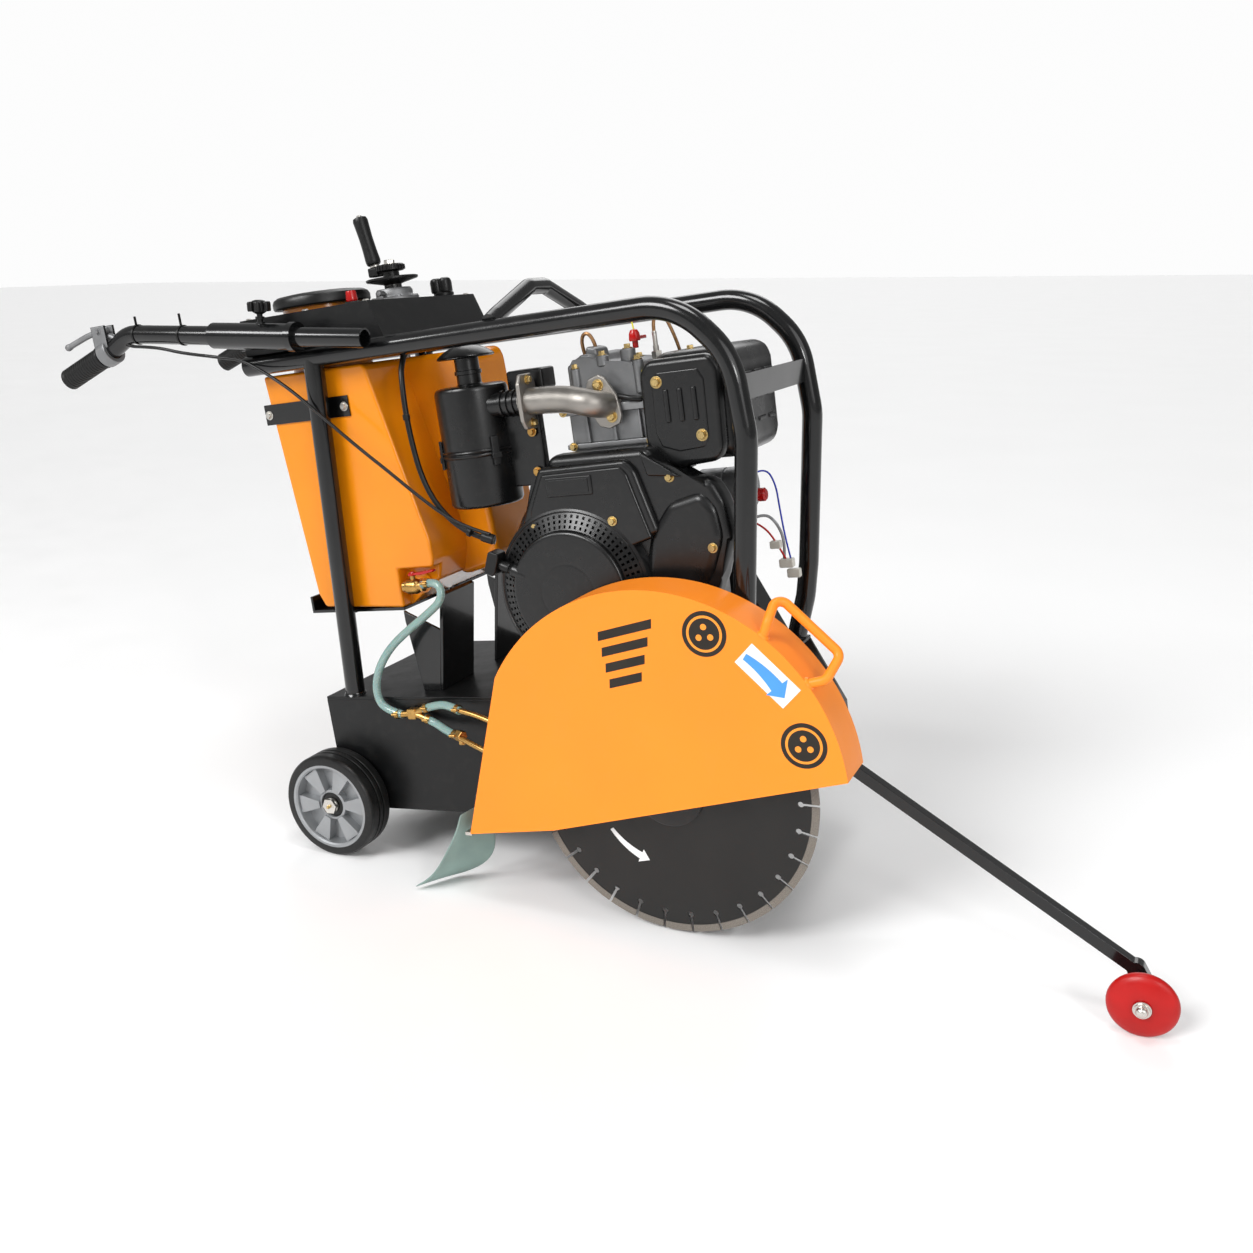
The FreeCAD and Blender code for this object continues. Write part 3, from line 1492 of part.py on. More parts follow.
def machine_bolts():
    """The axle nuts, the engine's foot bolts, the guard's pin and the flap's clamp strip."""
    pieces = []
    for sign in (-1, 1):
        reach = float(D.rear_track) + 20
        span = sorted((sign * reach, sign * (reach + 9)))
        nut = hexagon("Y", 27, span, (0, 0), "AxleNutBlank")
        thread = rod("Y", D.axle_radius - 2, (span[0] - 1, span[1] + 1), (0, 0), "AxleNutThread")
        pieces.append(cut(nut, [thread], "AxleNut"))
    for x in (427, 713):
        for y in (-44, 120):
            pieces.append(hexagon("Z", 17, (216, 226), (x, y), "FootBolt"))
    pin_span = (-D.guard_inner - 4, -D.chassis_half + D.plate)
    pin = rod("Y", D.hinge_pin, pin_span, (D.hinge_x, D.hinge_z), "HingePin")
    head = rod("Y", 13, (-D.guard_inner - 9, -D.guard_inner - 3.3), (D.hinge_x, D.hinge_z), "PinHead")
    pieces.append(fuse([pin, head], "GuardPin"))
    clamp = box((321, 334), (-290, -193), (-26, -20), "FlapClamp")
    pieces.append(clamp)
    node("machine_bolts", group(pieces, "Bolts"))


# ---------------------------------------------------------------- assembly


def build():
    chassis_deck()
    chassis_panels()
    rear_axle()
    for side, sign in (("near", -1), ("far", 1)):
        rear_wheel(side, sign)
        front_wheel(side, sign)
        cage(side, sign)
        bar_sleeve(side, sign)
        star_knob(side, sign)
        handlebar(side, sign)
    swing_frame()
    depth_nut()
    depth_screw()
    crank_wheel()
    crank_grip()
    crank_collar()
    cage_braces()
    throttle_lever()
    water_tank()
    tank_support()
    console_box()
    tank_lid()
    stop_button()
    throttle_dial()
    engine_crankcase()
    engine_cylinder()
    engine_shroud()
    recoil_cover()
    recoil_grip()
    intake_elbow()
    air_filter()
    muffler()
    starter_motor()
    decompression_lever()
    drive_belts()
    engine_pulley()
    arbor_pulley()
    belt_guard()
    arbor_bearings()
    blade_arbor()
    blade_flanges()
    saw_blade()
    blade_guard()
    guide_arm()
    guide_wheel()
    valve_lever()
    water_hoses()
    water_fittings()
    splash_flap()
    control_cables()
    machine_bolts()


def stance():
    """The nose-up stance on the floor, about the rear axle."""
    lift = Vector(float(D.origin_x), float(D.origin_y), float(D.wheel_radius))
    return Placement(lift, Rotation(Vector(0, 1, 0), -float(D.pitch)))


def finish():
    doc.recompute()
    for obj in doc.Objects:
        if "Invalid" in obj.State or "Error" in obj.State:
            raise RuntimeError(f"{obj.Name} ({obj.Label}) failed: {obj.State}")
    pose = stance()
    for label, (obj, place) in NODES.items():
        obj.Placement = pose.multiply(place)
    doc.recompute()
    os.makedirs("parts", exist_ok=True)
    for label, (obj, place) in NODES.items():
        shape = obj.Shape
        if shape.isNull() or not shape.isValid() or not shape.Solids:
            raise RuntimeError(f"{label} has no valid solid")
        shape.exportStep(f"parts/{label}.step")
    print(f"{len(NODES)} nodes written")


build()
finish()
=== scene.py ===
import json
import math

import bmesh
import bpy
from mathutils import Matrix, Vector

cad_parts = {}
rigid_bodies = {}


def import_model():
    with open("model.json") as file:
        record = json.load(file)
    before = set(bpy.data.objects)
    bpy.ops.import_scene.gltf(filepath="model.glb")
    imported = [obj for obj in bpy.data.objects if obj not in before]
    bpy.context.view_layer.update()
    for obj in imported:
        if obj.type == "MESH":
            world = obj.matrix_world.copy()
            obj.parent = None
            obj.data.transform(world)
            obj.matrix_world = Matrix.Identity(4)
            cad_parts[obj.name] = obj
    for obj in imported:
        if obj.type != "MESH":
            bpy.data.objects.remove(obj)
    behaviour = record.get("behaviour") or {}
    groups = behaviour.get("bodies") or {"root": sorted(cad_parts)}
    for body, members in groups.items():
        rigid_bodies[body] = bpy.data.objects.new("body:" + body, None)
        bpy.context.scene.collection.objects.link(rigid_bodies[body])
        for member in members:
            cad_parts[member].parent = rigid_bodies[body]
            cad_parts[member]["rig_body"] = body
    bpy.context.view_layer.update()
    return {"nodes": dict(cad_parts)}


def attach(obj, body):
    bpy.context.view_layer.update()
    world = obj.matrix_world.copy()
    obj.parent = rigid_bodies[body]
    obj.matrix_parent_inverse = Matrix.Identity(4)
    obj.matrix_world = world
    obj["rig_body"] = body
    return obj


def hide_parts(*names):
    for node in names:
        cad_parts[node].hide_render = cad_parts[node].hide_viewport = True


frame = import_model()
NODES = frame["nodes"]

# Pieces are drawn in the chassis frame, in millimetres: X forward, Y to the far side (the blade
# is at negative Y), Z up, with the rear axle at X = 0, Z = 0.  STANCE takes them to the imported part's
# frame, in metres.
PITCH = math.radians(7.68)
STANCE = Matrix.Translation((-0.4448, 0.0185, 0.1)) @ Matrix.Rotation(-PITCH, 4, "Y") @ Matrix.Scale(0.001, 4)
X, Y, Z = Vector((1, 0, 0)), Vector((0, 1, 0)), Vector((0, 0, 1))
NEAR = -Y

BLADE_HUB = (711.5, 61)
BLADE_Y = -256.4
CORE_RADIUS = 0.238
GUARD_CENTRE = (702.6, 86)
GUARD_FACE = -297.0
CRANK_SCREW = (162.4, 0, 0)
STOP_SPOT = (148, -112, 0)
DIAL_SPOT = (205, 100, 0)
LID = (30, -45, 0)
BAR_Y = 215
GRIP_START, GRIP_END = (-345, 886), (-466, 848)
VALVE = (206, -156, 396)
CRANKSHAFT = (544, 0, 381)
HOSE_RADIUS = 7.5


def polar(centre, radius, degrees):
    """A point of the XZ plane at an angle about a centre."""
    angle = math.radians(degrees)
    return centre[0] + radius * math.cos(angle), centre[1] + radius * math.sin(angle)


def turned(at, degrees, axis):
    """A placement that turns a solid about an axis and puts it at a point."""
    return Matrix.Translation(at) @ Matrix.Rotation(math.radians(degrees), 4, axis)


def mirrored(half):
    """A lathe profile of one half and its mirror image."""
    return [(radius, -reach) for radius, reach in half[::-1]] + half


def bar_height(x):
    """The height of a handlebar's axis inside its clamp sleeve, where it lies level on the floor."""
    return 871.4 - (x - 3.5) * math.tan(PITCH)


def linked(name, data):
    """An object of this data, in the scene."""
    obj = bpy.data.objects.new(name, data)
    bpy.context.scene.collection.objects.link(obj)
    return obj


# ---------------------------------------------------------------- materials


class Nodes:
    """A material's node tree, with short ways to add what most finishes need."""

    def __init__(self, name):
        self.name = name
        self.material = bpy.data.materials.new(name)
        self.material.use_nodes = True
        self.tree = self.material.node_tree
        self.shader = self.tree.nodes["Principled BSDF"]
        self.place = self.tree.nodes.new("ShaderNodeTexCoord").outputs["Object"]

    def link(self, start, end):
        self.tree.links.new(start, end)

    def add(self, kind, **settings):
        made = self.tree.nodes.new("ShaderNode" + kind)
        for key, value in settings.items():
            if key in made.inputs:
                made.inputs[key].default_value = value
            else:
                setattr(made, key, value)
        return made

    def noise(self, scale, detail=4.0, stretch=(1, 1, 1)):
        place = self.place
        if stretch != (1, 1, 1):
            mapping = self.add("Mapping", Scale=stretch)
            self.link(self.place, mapping.inputs["Vector"])
            place = mapping.outputs["Vector"]
        made = self.add("TexNoise", Scale=scale, Detail=detail)
        self.link(place, made.inputs["Vector"])
        return made.outputs["Fac"]

    def spread(self, value, low, high, start=0.3, end=0.7):
        """A value from start to end, taken to a range from low to high."""
        made = self.add("MapRange")
        for key, number in zip(("From Min", "From Max", "To Min", "To Max"), (start, end, low, high)):
            made.inputs[key].default_value = number
        self.link(value, made.inputs["Value"])
        return made.outputs["Result"]

    def mix(self, factor, first, second):
        made = self.add("Mix", data_type="RGBA")
        self.link(factor, made.inputs["Factor"])
        for socket, colour in ((made.inputs[6], first), (made.inputs[7], second)):
            if isinstance(colour, tuple):
                socket.default_value = (*colour, 1)
            else:
                self.link(colour, socket)
        return made.outputs[2]

    def bump(self, height, strength, distance, under=None):
        made = self.add("Bump", Strength=strength, Distance=distance)
        self.link(height, made.inputs["Height"])
        if under:
            self.link(under, made.inputs["Normal"])
        return made.outputs["Normal"]

    def set(self, **sockets):
        for key, value in sockets.items():
            self.shader.inputs[key.replace("_", " ")].default_value = value


def shade(colour, amount):
    return tuple(min(1.0, channel * amount) for channel in colour)


def finish(name, colour, rough, metal=0.0, mottle=(6, 0.12), grain=(900, 0.08), dust=0.0, **sockets):
    """A surface with uneven colour, uneven gloss and a fine grain."""
    made = Nodes(name)
    made.set(Metallic=metal, **sockets)
    if not metal:
        made.set(Specular_IOR_Level=0.35)
    scale, amount = mottle
    patches = made.spread(made.noise(scale, 6), 0, 1)
    tint = made.mix(patches, shade(colour, 1 - amount), shade(colour, 1 + amount))
    if dust:
        specks = made.spread(made.noise(scale * 9, 8), 0, dust, 0.52, 0.75)
        tint = made.mix(specks, tint, (0.42, 0.39, 0.34))
    made.link(tint, made.shader.inputs["Base Color"])
    gloss = made.spread(made.noise(scale * 4, 5), rough * 0.82, rough * 1.2)
    made.link(gloss, made.shader.inputs["Roughness"])
    normal = made.bump(made.noise(grain[0], 3), grain[1], 0.0006)
    made.link(normal, made.shader.inputs["Normal"])
    return made


BLACK = (0.004, 0.0042, 0.0045)
frame_paint = finish("frame_paint", BLACK, 0.2, mottle=(5, 0.3), grain=(160, 0.05), dust=0.01,
                     Coat_Weight=0.4, Coat_Roughness=0.08)
sheet_paint = finish("sheet_paint", BLACK, 0.34, mottle=(5, 0.3), grain=(240, 0.1), dust=0.012)
engine_paint = finish("engine_paint", BLACK, 0.3, mottle=(8, 0.3), grain=(700, 0.1), dust=0.01,
                      Coat_Weight=0.25, Coat_Roughness=0.22)
guard_paint = finish("guard_paint", (1.0, 0.27, 0.016), 0.4, mottle=(3, 0.05), grain=(420, 0.09), dust=0.01)
tank_plastic = finish("tank_plastic", (0.76, 0.235, 0.003), 0.22, mottle=(4, 0.1), grain=(70, 0.05),
                      Coat_Weight=0.3, Coat_Roughness=0.12)
tank_plastic.set(Subsurface_Weight=0.08, Subsurface_Scale=0.006)
tank_plastic.shader.inputs["Subsurface Radius"].default_value = (1.0, 0.45, 0.1)
casting = finish("casting", (0.24, 0.243, 0.248), 0.46, metal=0.8, mottle=(14, 0.16), grain=(1100, 0.4),
                 dust=0.12)
pipe_casting = finish("pipe_casting", (0.33, 0.31, 0.285), 0.4, metal=0.85, mottle=(14, 0.2),
                      grain=(1300, 0.35))
rim_casting = finish("rim_casting", (0.33, 0.34, 0.35), 0.42, metal=0.6, mottle=(20, 0.1), grain=(1200, 0.25),
                     dust=0.08)
zinc = finish("zinc", (0.62, 0.6, 0.56), 0.3, metal=1.0, mottle=(40, 0.1), grain=(900, 0.1))
yellow_zinc = finish("yellow_zinc", (0.55, 0.40, 0.17), 0.3, metal=1.0, mottle=(60, 0.25), grain=(900, 0.1))
brass = finish("brass", (0.50, 0.29, 0.09), 0.3, metal=1.0, mottle=(50, 0.2), grain=(900, 0.12))
copper = finish("copper", (0.45, 0.25, 0.12), 0.32, metal=1.0, mottle=(50, 0.2), grain=(900, 0.12))
tyre_rubber = finish("tyre_rubber", (0.008, 0.008, 0.008), 0.36, mottle=(18, 0.35), grain=(650, 0.2),
                     dust=0.02)
grip_rubber = finish("grip_rubber", (0.003, 0.003, 0.003), 0.45, mottle=(30, 0.3), grain=(900, 0.3))
black_plastic = finish("black_plastic", (0.005, 0.005, 0.005), 0.34, mottle=(18, 0.25), grain=(1400, 0.2))
red_plastic = finish("red_plastic", (0.42, 0.005, 0.004), 0.25, mottle=(18, 0.15), grain=(300, 0.05),
                     Coat_Weight=0.3)
wheel_plastic = finish("wheel_plastic", (0.42, 0.004, 0.003), 0.36, mottle=(22, 0.12), grain=(500, 0.12))
flap_rubber = finish("flap_rubber", (0.24, 0.34, 0.31), 0.45, mottle=(20, 0.12), grain=(800, 0.18), dust=0.05)
cable_jacket = finish("cable_jacket", (0.004, 0.004, 0.004), 0.35, mottle=(60, 0.25), grain=(900, 0.1))
white_plastic = finish("white_plastic", (0.62, 0.6, 0.54), 0.4, mottle=(60, 0.08), grain=(900, 0.1))
sleeve_cloth = finish("sleeve_cloth", (0.30, 0.31, 0.32), 0.7, mottle=(90, 0.25), grain=(1500, 0.5))
red_wire = finish("red_wire", (0.5, 0.01, 0.01), 0.35, mottle=(60, 0.15))
blue_wire = finish("blue_wire", (0.02, 0.04, 0.45), 0.35, mottle=(60, 0.15))
yellow_wire = finish("yellow_wire", (0.75, 0.7, 0.03), 0.35, mottle=(60, 0.15))
arrow_blue = finish("arrow_blue", (0.07, 0.30, 0.75), 0.35, mottle=(30, 0.05))
label_white = finish("label_white", (0.80, 0.80, 0.80), 0.35, mottle=(30, 0.04))
label_black = finish("label_black", (0.016, 0.012, 0.008), 0.4, mottle=(30, 0.2))
label_orange = finish("label_orange", (0.92, 0.30, 0.03), 0.4, mottle=(30, 0.05))


def blade_finish():
    """Dark lacquered steel, turned in rings, with sintered segments outside the core."""
    made = finish("blade_finish", (0.006, 0.0056, 0.005), 0.42, metal=0.1, mottle=(9, 0.35),
                  grain=(500, 0.15))
    hub = STANCE @ Vector((BLADE_HUB[0], BLADE_Y, BLADE_HUB[1]))
    centred = made.add("VectorMath", operation="SUBTRACT")
    centred.inputs[1].default_value = hub
    made.link(made.place, centred.inputs[0])
    size = made.add("VectorMath", operation="LENGTH")
    made.link(centred.outputs["Vector"], size.inputs[0])
    reach = size.outputs["Value"]
    outside = made.spread(reach, 0, 1, CORE_RADIUS - 0.0005, CORE_RADIUS + 0.0005)
    core = made.shader.inputs["Base Color"].links[0].from_socket
    grit = made.mix(made.spread(made.noise(700, 5), 0, 1), (0.10, 0.085, 0.07), (0.24, 0.215, 0.185))
    made.link(made.mix(outside, core, grit), made.shader.inputs["Base Color"])
    rings = made.add("Math", operation="SINE")
    many = made.add("Math", operation="MULTIPLY")
    many.inputs[1].default_value = 5200
    made.link(reach, many.inputs[0])
    made.link(many.outputs[0], rings.inputs[0])
    normal = made.bump(rings.outputs[0], 0.05, 0.0002, made.shader.inputs["Normal"].links[0].from_socket)
    made.link(normal, made.shader.inputs["Normal"])
    return made


def hose_finish():
    """Clear hose with a woven braid inside its wall."""
    made = finish("hose_finish", (0.27, 0.42, 0.39), 0.2, mottle=(30, 0.08), grain=(300, 0.05),
                  Coat_Weight=0.5, Coat_Roughness=0.1)
    made.set(Transmission_Weight=0.25, Subsurface_Weight=0.2, Subsurface_Scale=0.004)
    weave = []
    for turn in (-0.78, 0.78):
        mapping = made.add("Mapping", Rotation=(0.4, turn, 0.3))
        made.link(made.place, mapping.inputs["Vector"])
        wave = made.add("TexWave", Scale=95, Distortion=0.4)
        made.link(mapping.outputs["Vector"], wave.inputs["Vector"])
        weave.append(wave.outputs["Fac"])
    both = made.add("Math", operation="MULTIPLY")
    made.link(weave[0], both.inputs[0])
    made.link(weave[1], both.inputs[1])
    colour = made.shader.inputs["Base Color"].links[0].from_socket
    pale = made.spread(both.outputs[0], 0, 0.6, 0.35, 0.8)
    made.link(made.mix(pale, colour, (0.46, 0.60, 0.56)), made.shader.inputs["Base Color"])
    return made


blade_steel = blade_finish()
hose_clear = hose_finish()


# ---------------------------------------------------------------- shapes


class Shape:
    """Collects solids of one piece, in the chassis frame, and makes the piece from them."""

    def __init__(self):
        self.bm = bmesh.new()

    def soften(self, verts, bevel, segments=3):
        """Round every edge of a solid that was just added."""
        if not bevel:
            return verts
        edges = list({edge for vert in verts for edge in vert.link_edges})
        made = bmesh.ops.bevel(self.bm, geom=list(verts) + edges, offset=bevel, segments=segments,
                               profile=0.5, affect="EDGES", clamp_overlap=True)
        return made["verts"]

    def prism(self, outline, span, bevel=0.0, segments=3, place=None):
        """An outline in the XZ plane, with its thickness between two Y values."""
        rings = []
        for y in span:
            rings.append([self.bm.verts.new((x, y, z)) for x, z in outline])
        count = len(outline)
        self.bm.faces.new(rings[0])
        self.bm.faces.new(rings[1][::-1])
        for number in range(count):
            after = (number + 1) % count
            self.bm.faces.new((rings[0][after], rings[0][number], rings[1][number], rings[1][after]))
        verts = rings[0] + rings[1]
        if place:
            bmesh.ops.transform(self.bm, matrix=place, verts=verts)
        self.soften(verts, bevel, segments)
        return self

    def box(self, x, y, z, bevel=0.0, segments=2, place=None):
        outline = [(x[0], z[0]), (x[1], z[0]), (x[1], z[1]), (x[0], z[1])]
        return self.prism(outline, y, bevel, segments, place)

    def lathe(self, profile, centre, axis, steps=64):
        """A closed profile of (radius, place along the axis), turned about the axis."""
        along = Vector(axis).normalized()
        aside = along.orthogonal().normalized()
        across = along.cross(aside)
        centre = Vector(centre)
        rings = []
        for radius, reach in profile:
            if radius == 0:
                rings.append([self.bm.verts.new(centre + along * reach)])
                continue
            ring = []
            for step in range(steps):
                angle = 2 * math.pi * step / steps
                out = aside * math.cos(angle) + across * math.sin(angle)
                ring.append(self.bm.verts.new(centre + along * reach + out * radius))
            rings.append(ring)
        closed = profile[0][0] != 0 or profile[-1][0] != 0
        pairs = list(zip(rings, rings[1:])) + ([(rings[-1], rings[0])] if closed else [])
        for first, second in pairs:
            for step in range(steps):
                after = (step + 1) % steps
                if len(first) == 1 and len(second) == 1:
                    continue
                if len(first) == 1:
                    self.bm.faces.new((first[0], second[step], second[after]))
                elif len(second) == 1:
                    self.bm.faces.new((first[step], second[0], first[after]))
                else:
                    self.bm.faces.new((first[step], second[step], second[after], first[after]))
        return self

    def rod(self, radius, start, end, steps=24, chamfer=0.0):
        run = Vector(end) - Vector(start)
        size, edge = run.length, chamfer
        profile = [(0, 0), (radius - edge, 0), (radius, edge), (radius, size - edge), (radius - edge, size),
                   (0, size)]
        if not edge:
            profile = [(0, 0), (radius, 0), (radius, size), (0, size)]
        return self.lathe(profile, start, run, steps)

    def bolt(self, centre, axis, across=13.0, height=6.0, washer=True):
        """A hexagonal head with a chamfered crown, on its washer."""
        axis = Vector(axis).normalized()
        base = Vector(centre)
        radius = across / math.sqrt(3)
        rise = 0.0
        if washer:
            rise = 1.6
            disc = radius * 1.45
            self.lathe([(0, 0), (disc - 0.4, 0), (disc, 0.4), (disc, rise - 0.4), (disc - 0.4, rise),
                        (0, rise)], base, axis, 24)
        top = rise + height
        self.lathe([(0, rise - 0.2), (radius, rise - 0.2), (radius, top - 1.0), (radius * 0.86, top),
                    (0, top)], base, axis, 6)
        return self

    def piece(self, name, body, look, replaces=(), angle=35, weighted=True):
        bmesh.ops.recalc_face_normals(self.bm, faces=self.bm.faces)
        mesh = bpy.data.meshes.new(name)
        self.bm.to_mesh(mesh)
        self.bm.free()
        mesh.transform(STANCE)
        return settle(name, mesh, body, look, replaces, angle, weighted)


def settle(name, mesh, body, look, replaces=(), angle=35, weighted=True):
    """Make an object of a mesh, ride it on its body and give it its finish."""
    obj = linked(name, mesh)
    mesh.materials.clear()
    mesh.materials.append(look.material)
    mesh.polygons.foreach_set("use_smooth", [True] * len(mesh.polygons))
    mesh.set_sharp_from_angle(angle=math.radians(angle))
    if weighted:
        even_out(obj)
    return hand_over(obj, body, replaces)


def hand_over(obj, body, replaces):
    """Ride a piece on its body, and hide the CAD nodes that it stands in for."""
    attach(obj, body)
    if replaces:
        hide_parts(*replaces)
    return obj


def even_out(obj):
    """Weight a piece's normals by face area, with its sharp edges kept."""
    even = obj.modifiers.new("Even", "WEIGHTED_NORMAL")
    even.keep_sharp = True


def break_edges(obj, width, segments, angle):
    """Round the edges that are sharper than an angle."""
    edge = obj.modifiers.new("Edge", "BEVEL")
    edge.width = width / 1000
    edge.segments = segments
    edge.limit_method = "ANGLE"
    edge.angle_limit = math.radians(angle)
    edge.use_clamp_overlap = True


def carve(obj, cutter, width, segments):
    """Cut a solid out of a piece, then round every edge that is left."""
    bmesh.ops.recalc_face_normals(cutter.bm, faces=cutter.bm.faces)
    mesh = bpy.data.meshes.new("cutter")
    cutter.bm.to_mesh(mesh)
    cutter.bm.free()
    mesh.transform(STANCE)
    tool = linked("cutter", mesh)
    cut = obj.modifiers.new("Cut", "BOOLEAN")
    cut.operation = "DIFFERENCE"
    cut.solver = "EXACT"
    cut.object = tool
    break_edges(obj, width, segments, 15)
    shape = bpy.data.meshes.new_from_object(obj.evaluated_get(bpy.context.evaluated_depsgraph_get()))
    obj.modifiers.clear()
    obj.data = shape
    even_out(obj)
    bpy.data.objects.remove(tool)


def strand(name, points, radius, body, look, replaces=(), steps=12):
    """A smooth round cable, hose or pipe with these control points."""
    curve = bpy.data.curves.new(name, "CURVE")
    curve.dimensions = "3D"
    curve.bevel_depth = radius / 1000
    curve.bevel_resolution = 4
    curve.resolution_u = steps
    curve.use_fill_caps = True
    spline = curve.splines.new("NURBS")
    spline.points.add(len(points) - 1)
    for spot, place in zip(spline.points, points):
        spot.co = (*(STANCE @ Vector(place)), 1)
    spline.order_u = 3
    spline.use_endpoint_u = True
    curve.materials.append(look.material)
    obj = linked(name, curve)
    return hand_over(obj, body, replaces)


def rounded(node, look, width=1.5, segments=2, angle=30):
    """A copy of a CAD part with its edges broken, in place of the part."""
    mesh = NODES[node].data.copy()
    bm = bmesh.new()
    bm.from_mesh(mesh)
    bmesh.ops.remove_doubles(bm, verts=bm.verts, dist=1e-5)
    bmesh.ops.dissolve_limit(bm, angle_limit=math.radians(0.5), verts=bm.verts, edges=bm.edges)
    bm.to_mesh(mesh)
    bm.free()
    body = NODES[node]["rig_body"]
    obj = settle(node + "_edged", mesh, body, look, (node,), 35, False)
    break_edges(obj, width, segments, angle)
    even_out(obj)


def repaint(node, look):
    """Give a CAD part that keeps its shape its finish."""
    mesh = NODES[node].data
    mesh.materials.clear()
    mesh.materials.append(look.material)


# ---------------------------------------------------------------- camera, floor and light


def studio():
    camera = linked("Camera", bpy.data.cameras.new("Camera"))
    bpy.context.scene.camera = camera
    camera.data.lens = 36.04
    camera.data.sensor_width = 36
    camera.data.shift_x = 0.0121
    camera.data.shift_y = -0.0045
    camera.data.clip_end = 300
    right = Vector((0.903817, 0.427673, -0.014532))
    up = Vector((-0.10629, 0.257262, 0.960478))
    back = Vector((0.414509, -0.866552, 0.277975))
    turn = Matrix((right, up, back)).transposed().to_4x4()
    camera.matrix_world = Matrix.Translation((0.98179, -1.97552, 1.08803)) @ turn

    size = 60.0
    mesh = bpy.data.meshes.new("Floor")
    mesh.from_pydata([(-size, -size, 0), (size, -size, 0), (size, size, 0), (-size, size, 0)], [],
                     [(0, 1, 2, 3)])
    floor = linked("Floor", mesh)
    look = finish("floor_paint", (0.95, 0.95, 0.95), 0.7, mottle=(1.5, 0.01), grain=(200, 0.02))
    mesh.materials.append(look.material)

    bpy.context.scene.view_settings.view_transform = "Standard"
    world = bpy.data.worlds.new("Studio")
    bpy.context.scene.world = world
    world.use_nodes = True
    tree = world.node_tree
    dim = tree.nodes["Background"]
    dim.inputs["Color"].default_value = (1, 1, 1, 1)
    dim.inputs["Strength"].default_value = 0.3
    bright = tree.nodes.new("ShaderNodeBackground")
    bright.inputs["Color"].default_value = (1, 1, 1, 1)
    bright.inputs["Strength"].default_value = 0.98
    seen = tree.nodes.new("ShaderNodeLightPath")
    either = tree.nodes.new("ShaderNodeMixShader")
    tree.links.new(seen.outputs["Is Camera Ray"], either.inputs["Fac"])
    tree.links.new(dim.outputs["Background"], either.inputs[1])
    tree.links.new(bright.outputs["Background"], either.inputs[2])
    tree.links.new(either.outputs["Shader"], tree.nodes["World Output"].inputs["Surface"])
    suns = [
        ("Key", (-1.6, -3.4, 3.2), 2.15, 24),
        ("Fill", (3.4, -2.4, 2.6), 0.65, 40),
        ("Back", (-1.0, 3.2, 3.0), 0.75, 40),
    ]
    for name, spot, power, spread in suns:
        lamp = bpy.data.lights.new(name, "SUN")
        lamp.energy = power
        lamp.angle = math.radians(spread)
        aim_lamp(name, lamp, spot)
    panels = [
        ("SoftboxLeft", (-2.6, -2.2, 2.4), 0.6, 18),
        ("SoftboxRight", (2.6, -2.4, 1.9), 0.5, 16),
        ("SoftboxTop", (0.4, -0.5, 3.2), 0.8, 18),
    ]
    for name, spot, width, power in panels:
        lamp = bpy.data.lights.new(name, "AREA")
        lamp.size = width
        lamp.energy = power
        aim_lamp(name, lamp, spot)


def aim_lamp(name, lamp, spot):
    """Place a lamp and turn it towards the middle of the object."""
    obj = linked(name, lamp)
    obj.location = spot
    aim = Vector((0, 0, 0.5)) - Vector(spot)
    obj.rotation_euler = aim.to_track_quat("-Z", "Y").to_euler()


studio()

# ---------------------------------------------------------------- hoses and cables

MAIN_HOSE = [
    (232, -166, 400), (270, -172, 410), (280, -179, 376), (246, -187, 350), (206, -194, 325),
    (164, -200, 295), (132, -204, 257), (116, -206, 214), (128, -207, 176), (168, -207, 168),
]
UPPER_HOSE = [(218, -207, 179), (246, -209, 187), (278, -216, 190), (308, -226, 182)]
LOWER_HOSE = [(218, -207, 161), (243, -210, 152), (272, -224, 143), (304, -240, 140)]
THROTTLE_CABLE = [
    (-126, -208, 852), (-96, -204, 845), (-50, -202, 836), (-8, -203, 812), (42, -204, 778),
    (88, -204, 738), (134, -203, 694), (180, -202, 652), (228, -200, 610), (276, -198, 566),
    (322, -196, 528), (366, -192, 502), (404, -188, 488),
]
WIRING_LOOM = [
    (268, -150, 806), (270, -172, 790), (275, -186, 750), (276, -190, 700), (279, -190, 648),
    (286, -190, 598), (302, -188, 552), (332, -186, 512), (372, -184, 486), (404, -174, 472),
]


def clamp_ring(shape, centre, axis, radius, width=8.0):
    """A worm-drive hose clamp: a band with its screw housing."""
    axis = Vector(axis).normalized()
    centre = Vector(centre)
    half = width / 2
    shape.lathe([(radius, -half), (radius + 1.2, -half), (radius + 1.2, half), (radius, half)], centre, axis,
                28)
    shape.rod(3.0, centre + Vector((-6, -radius - 3, 2)), centre + Vector((6, -radius - 3, 2)), 12, 0.6)


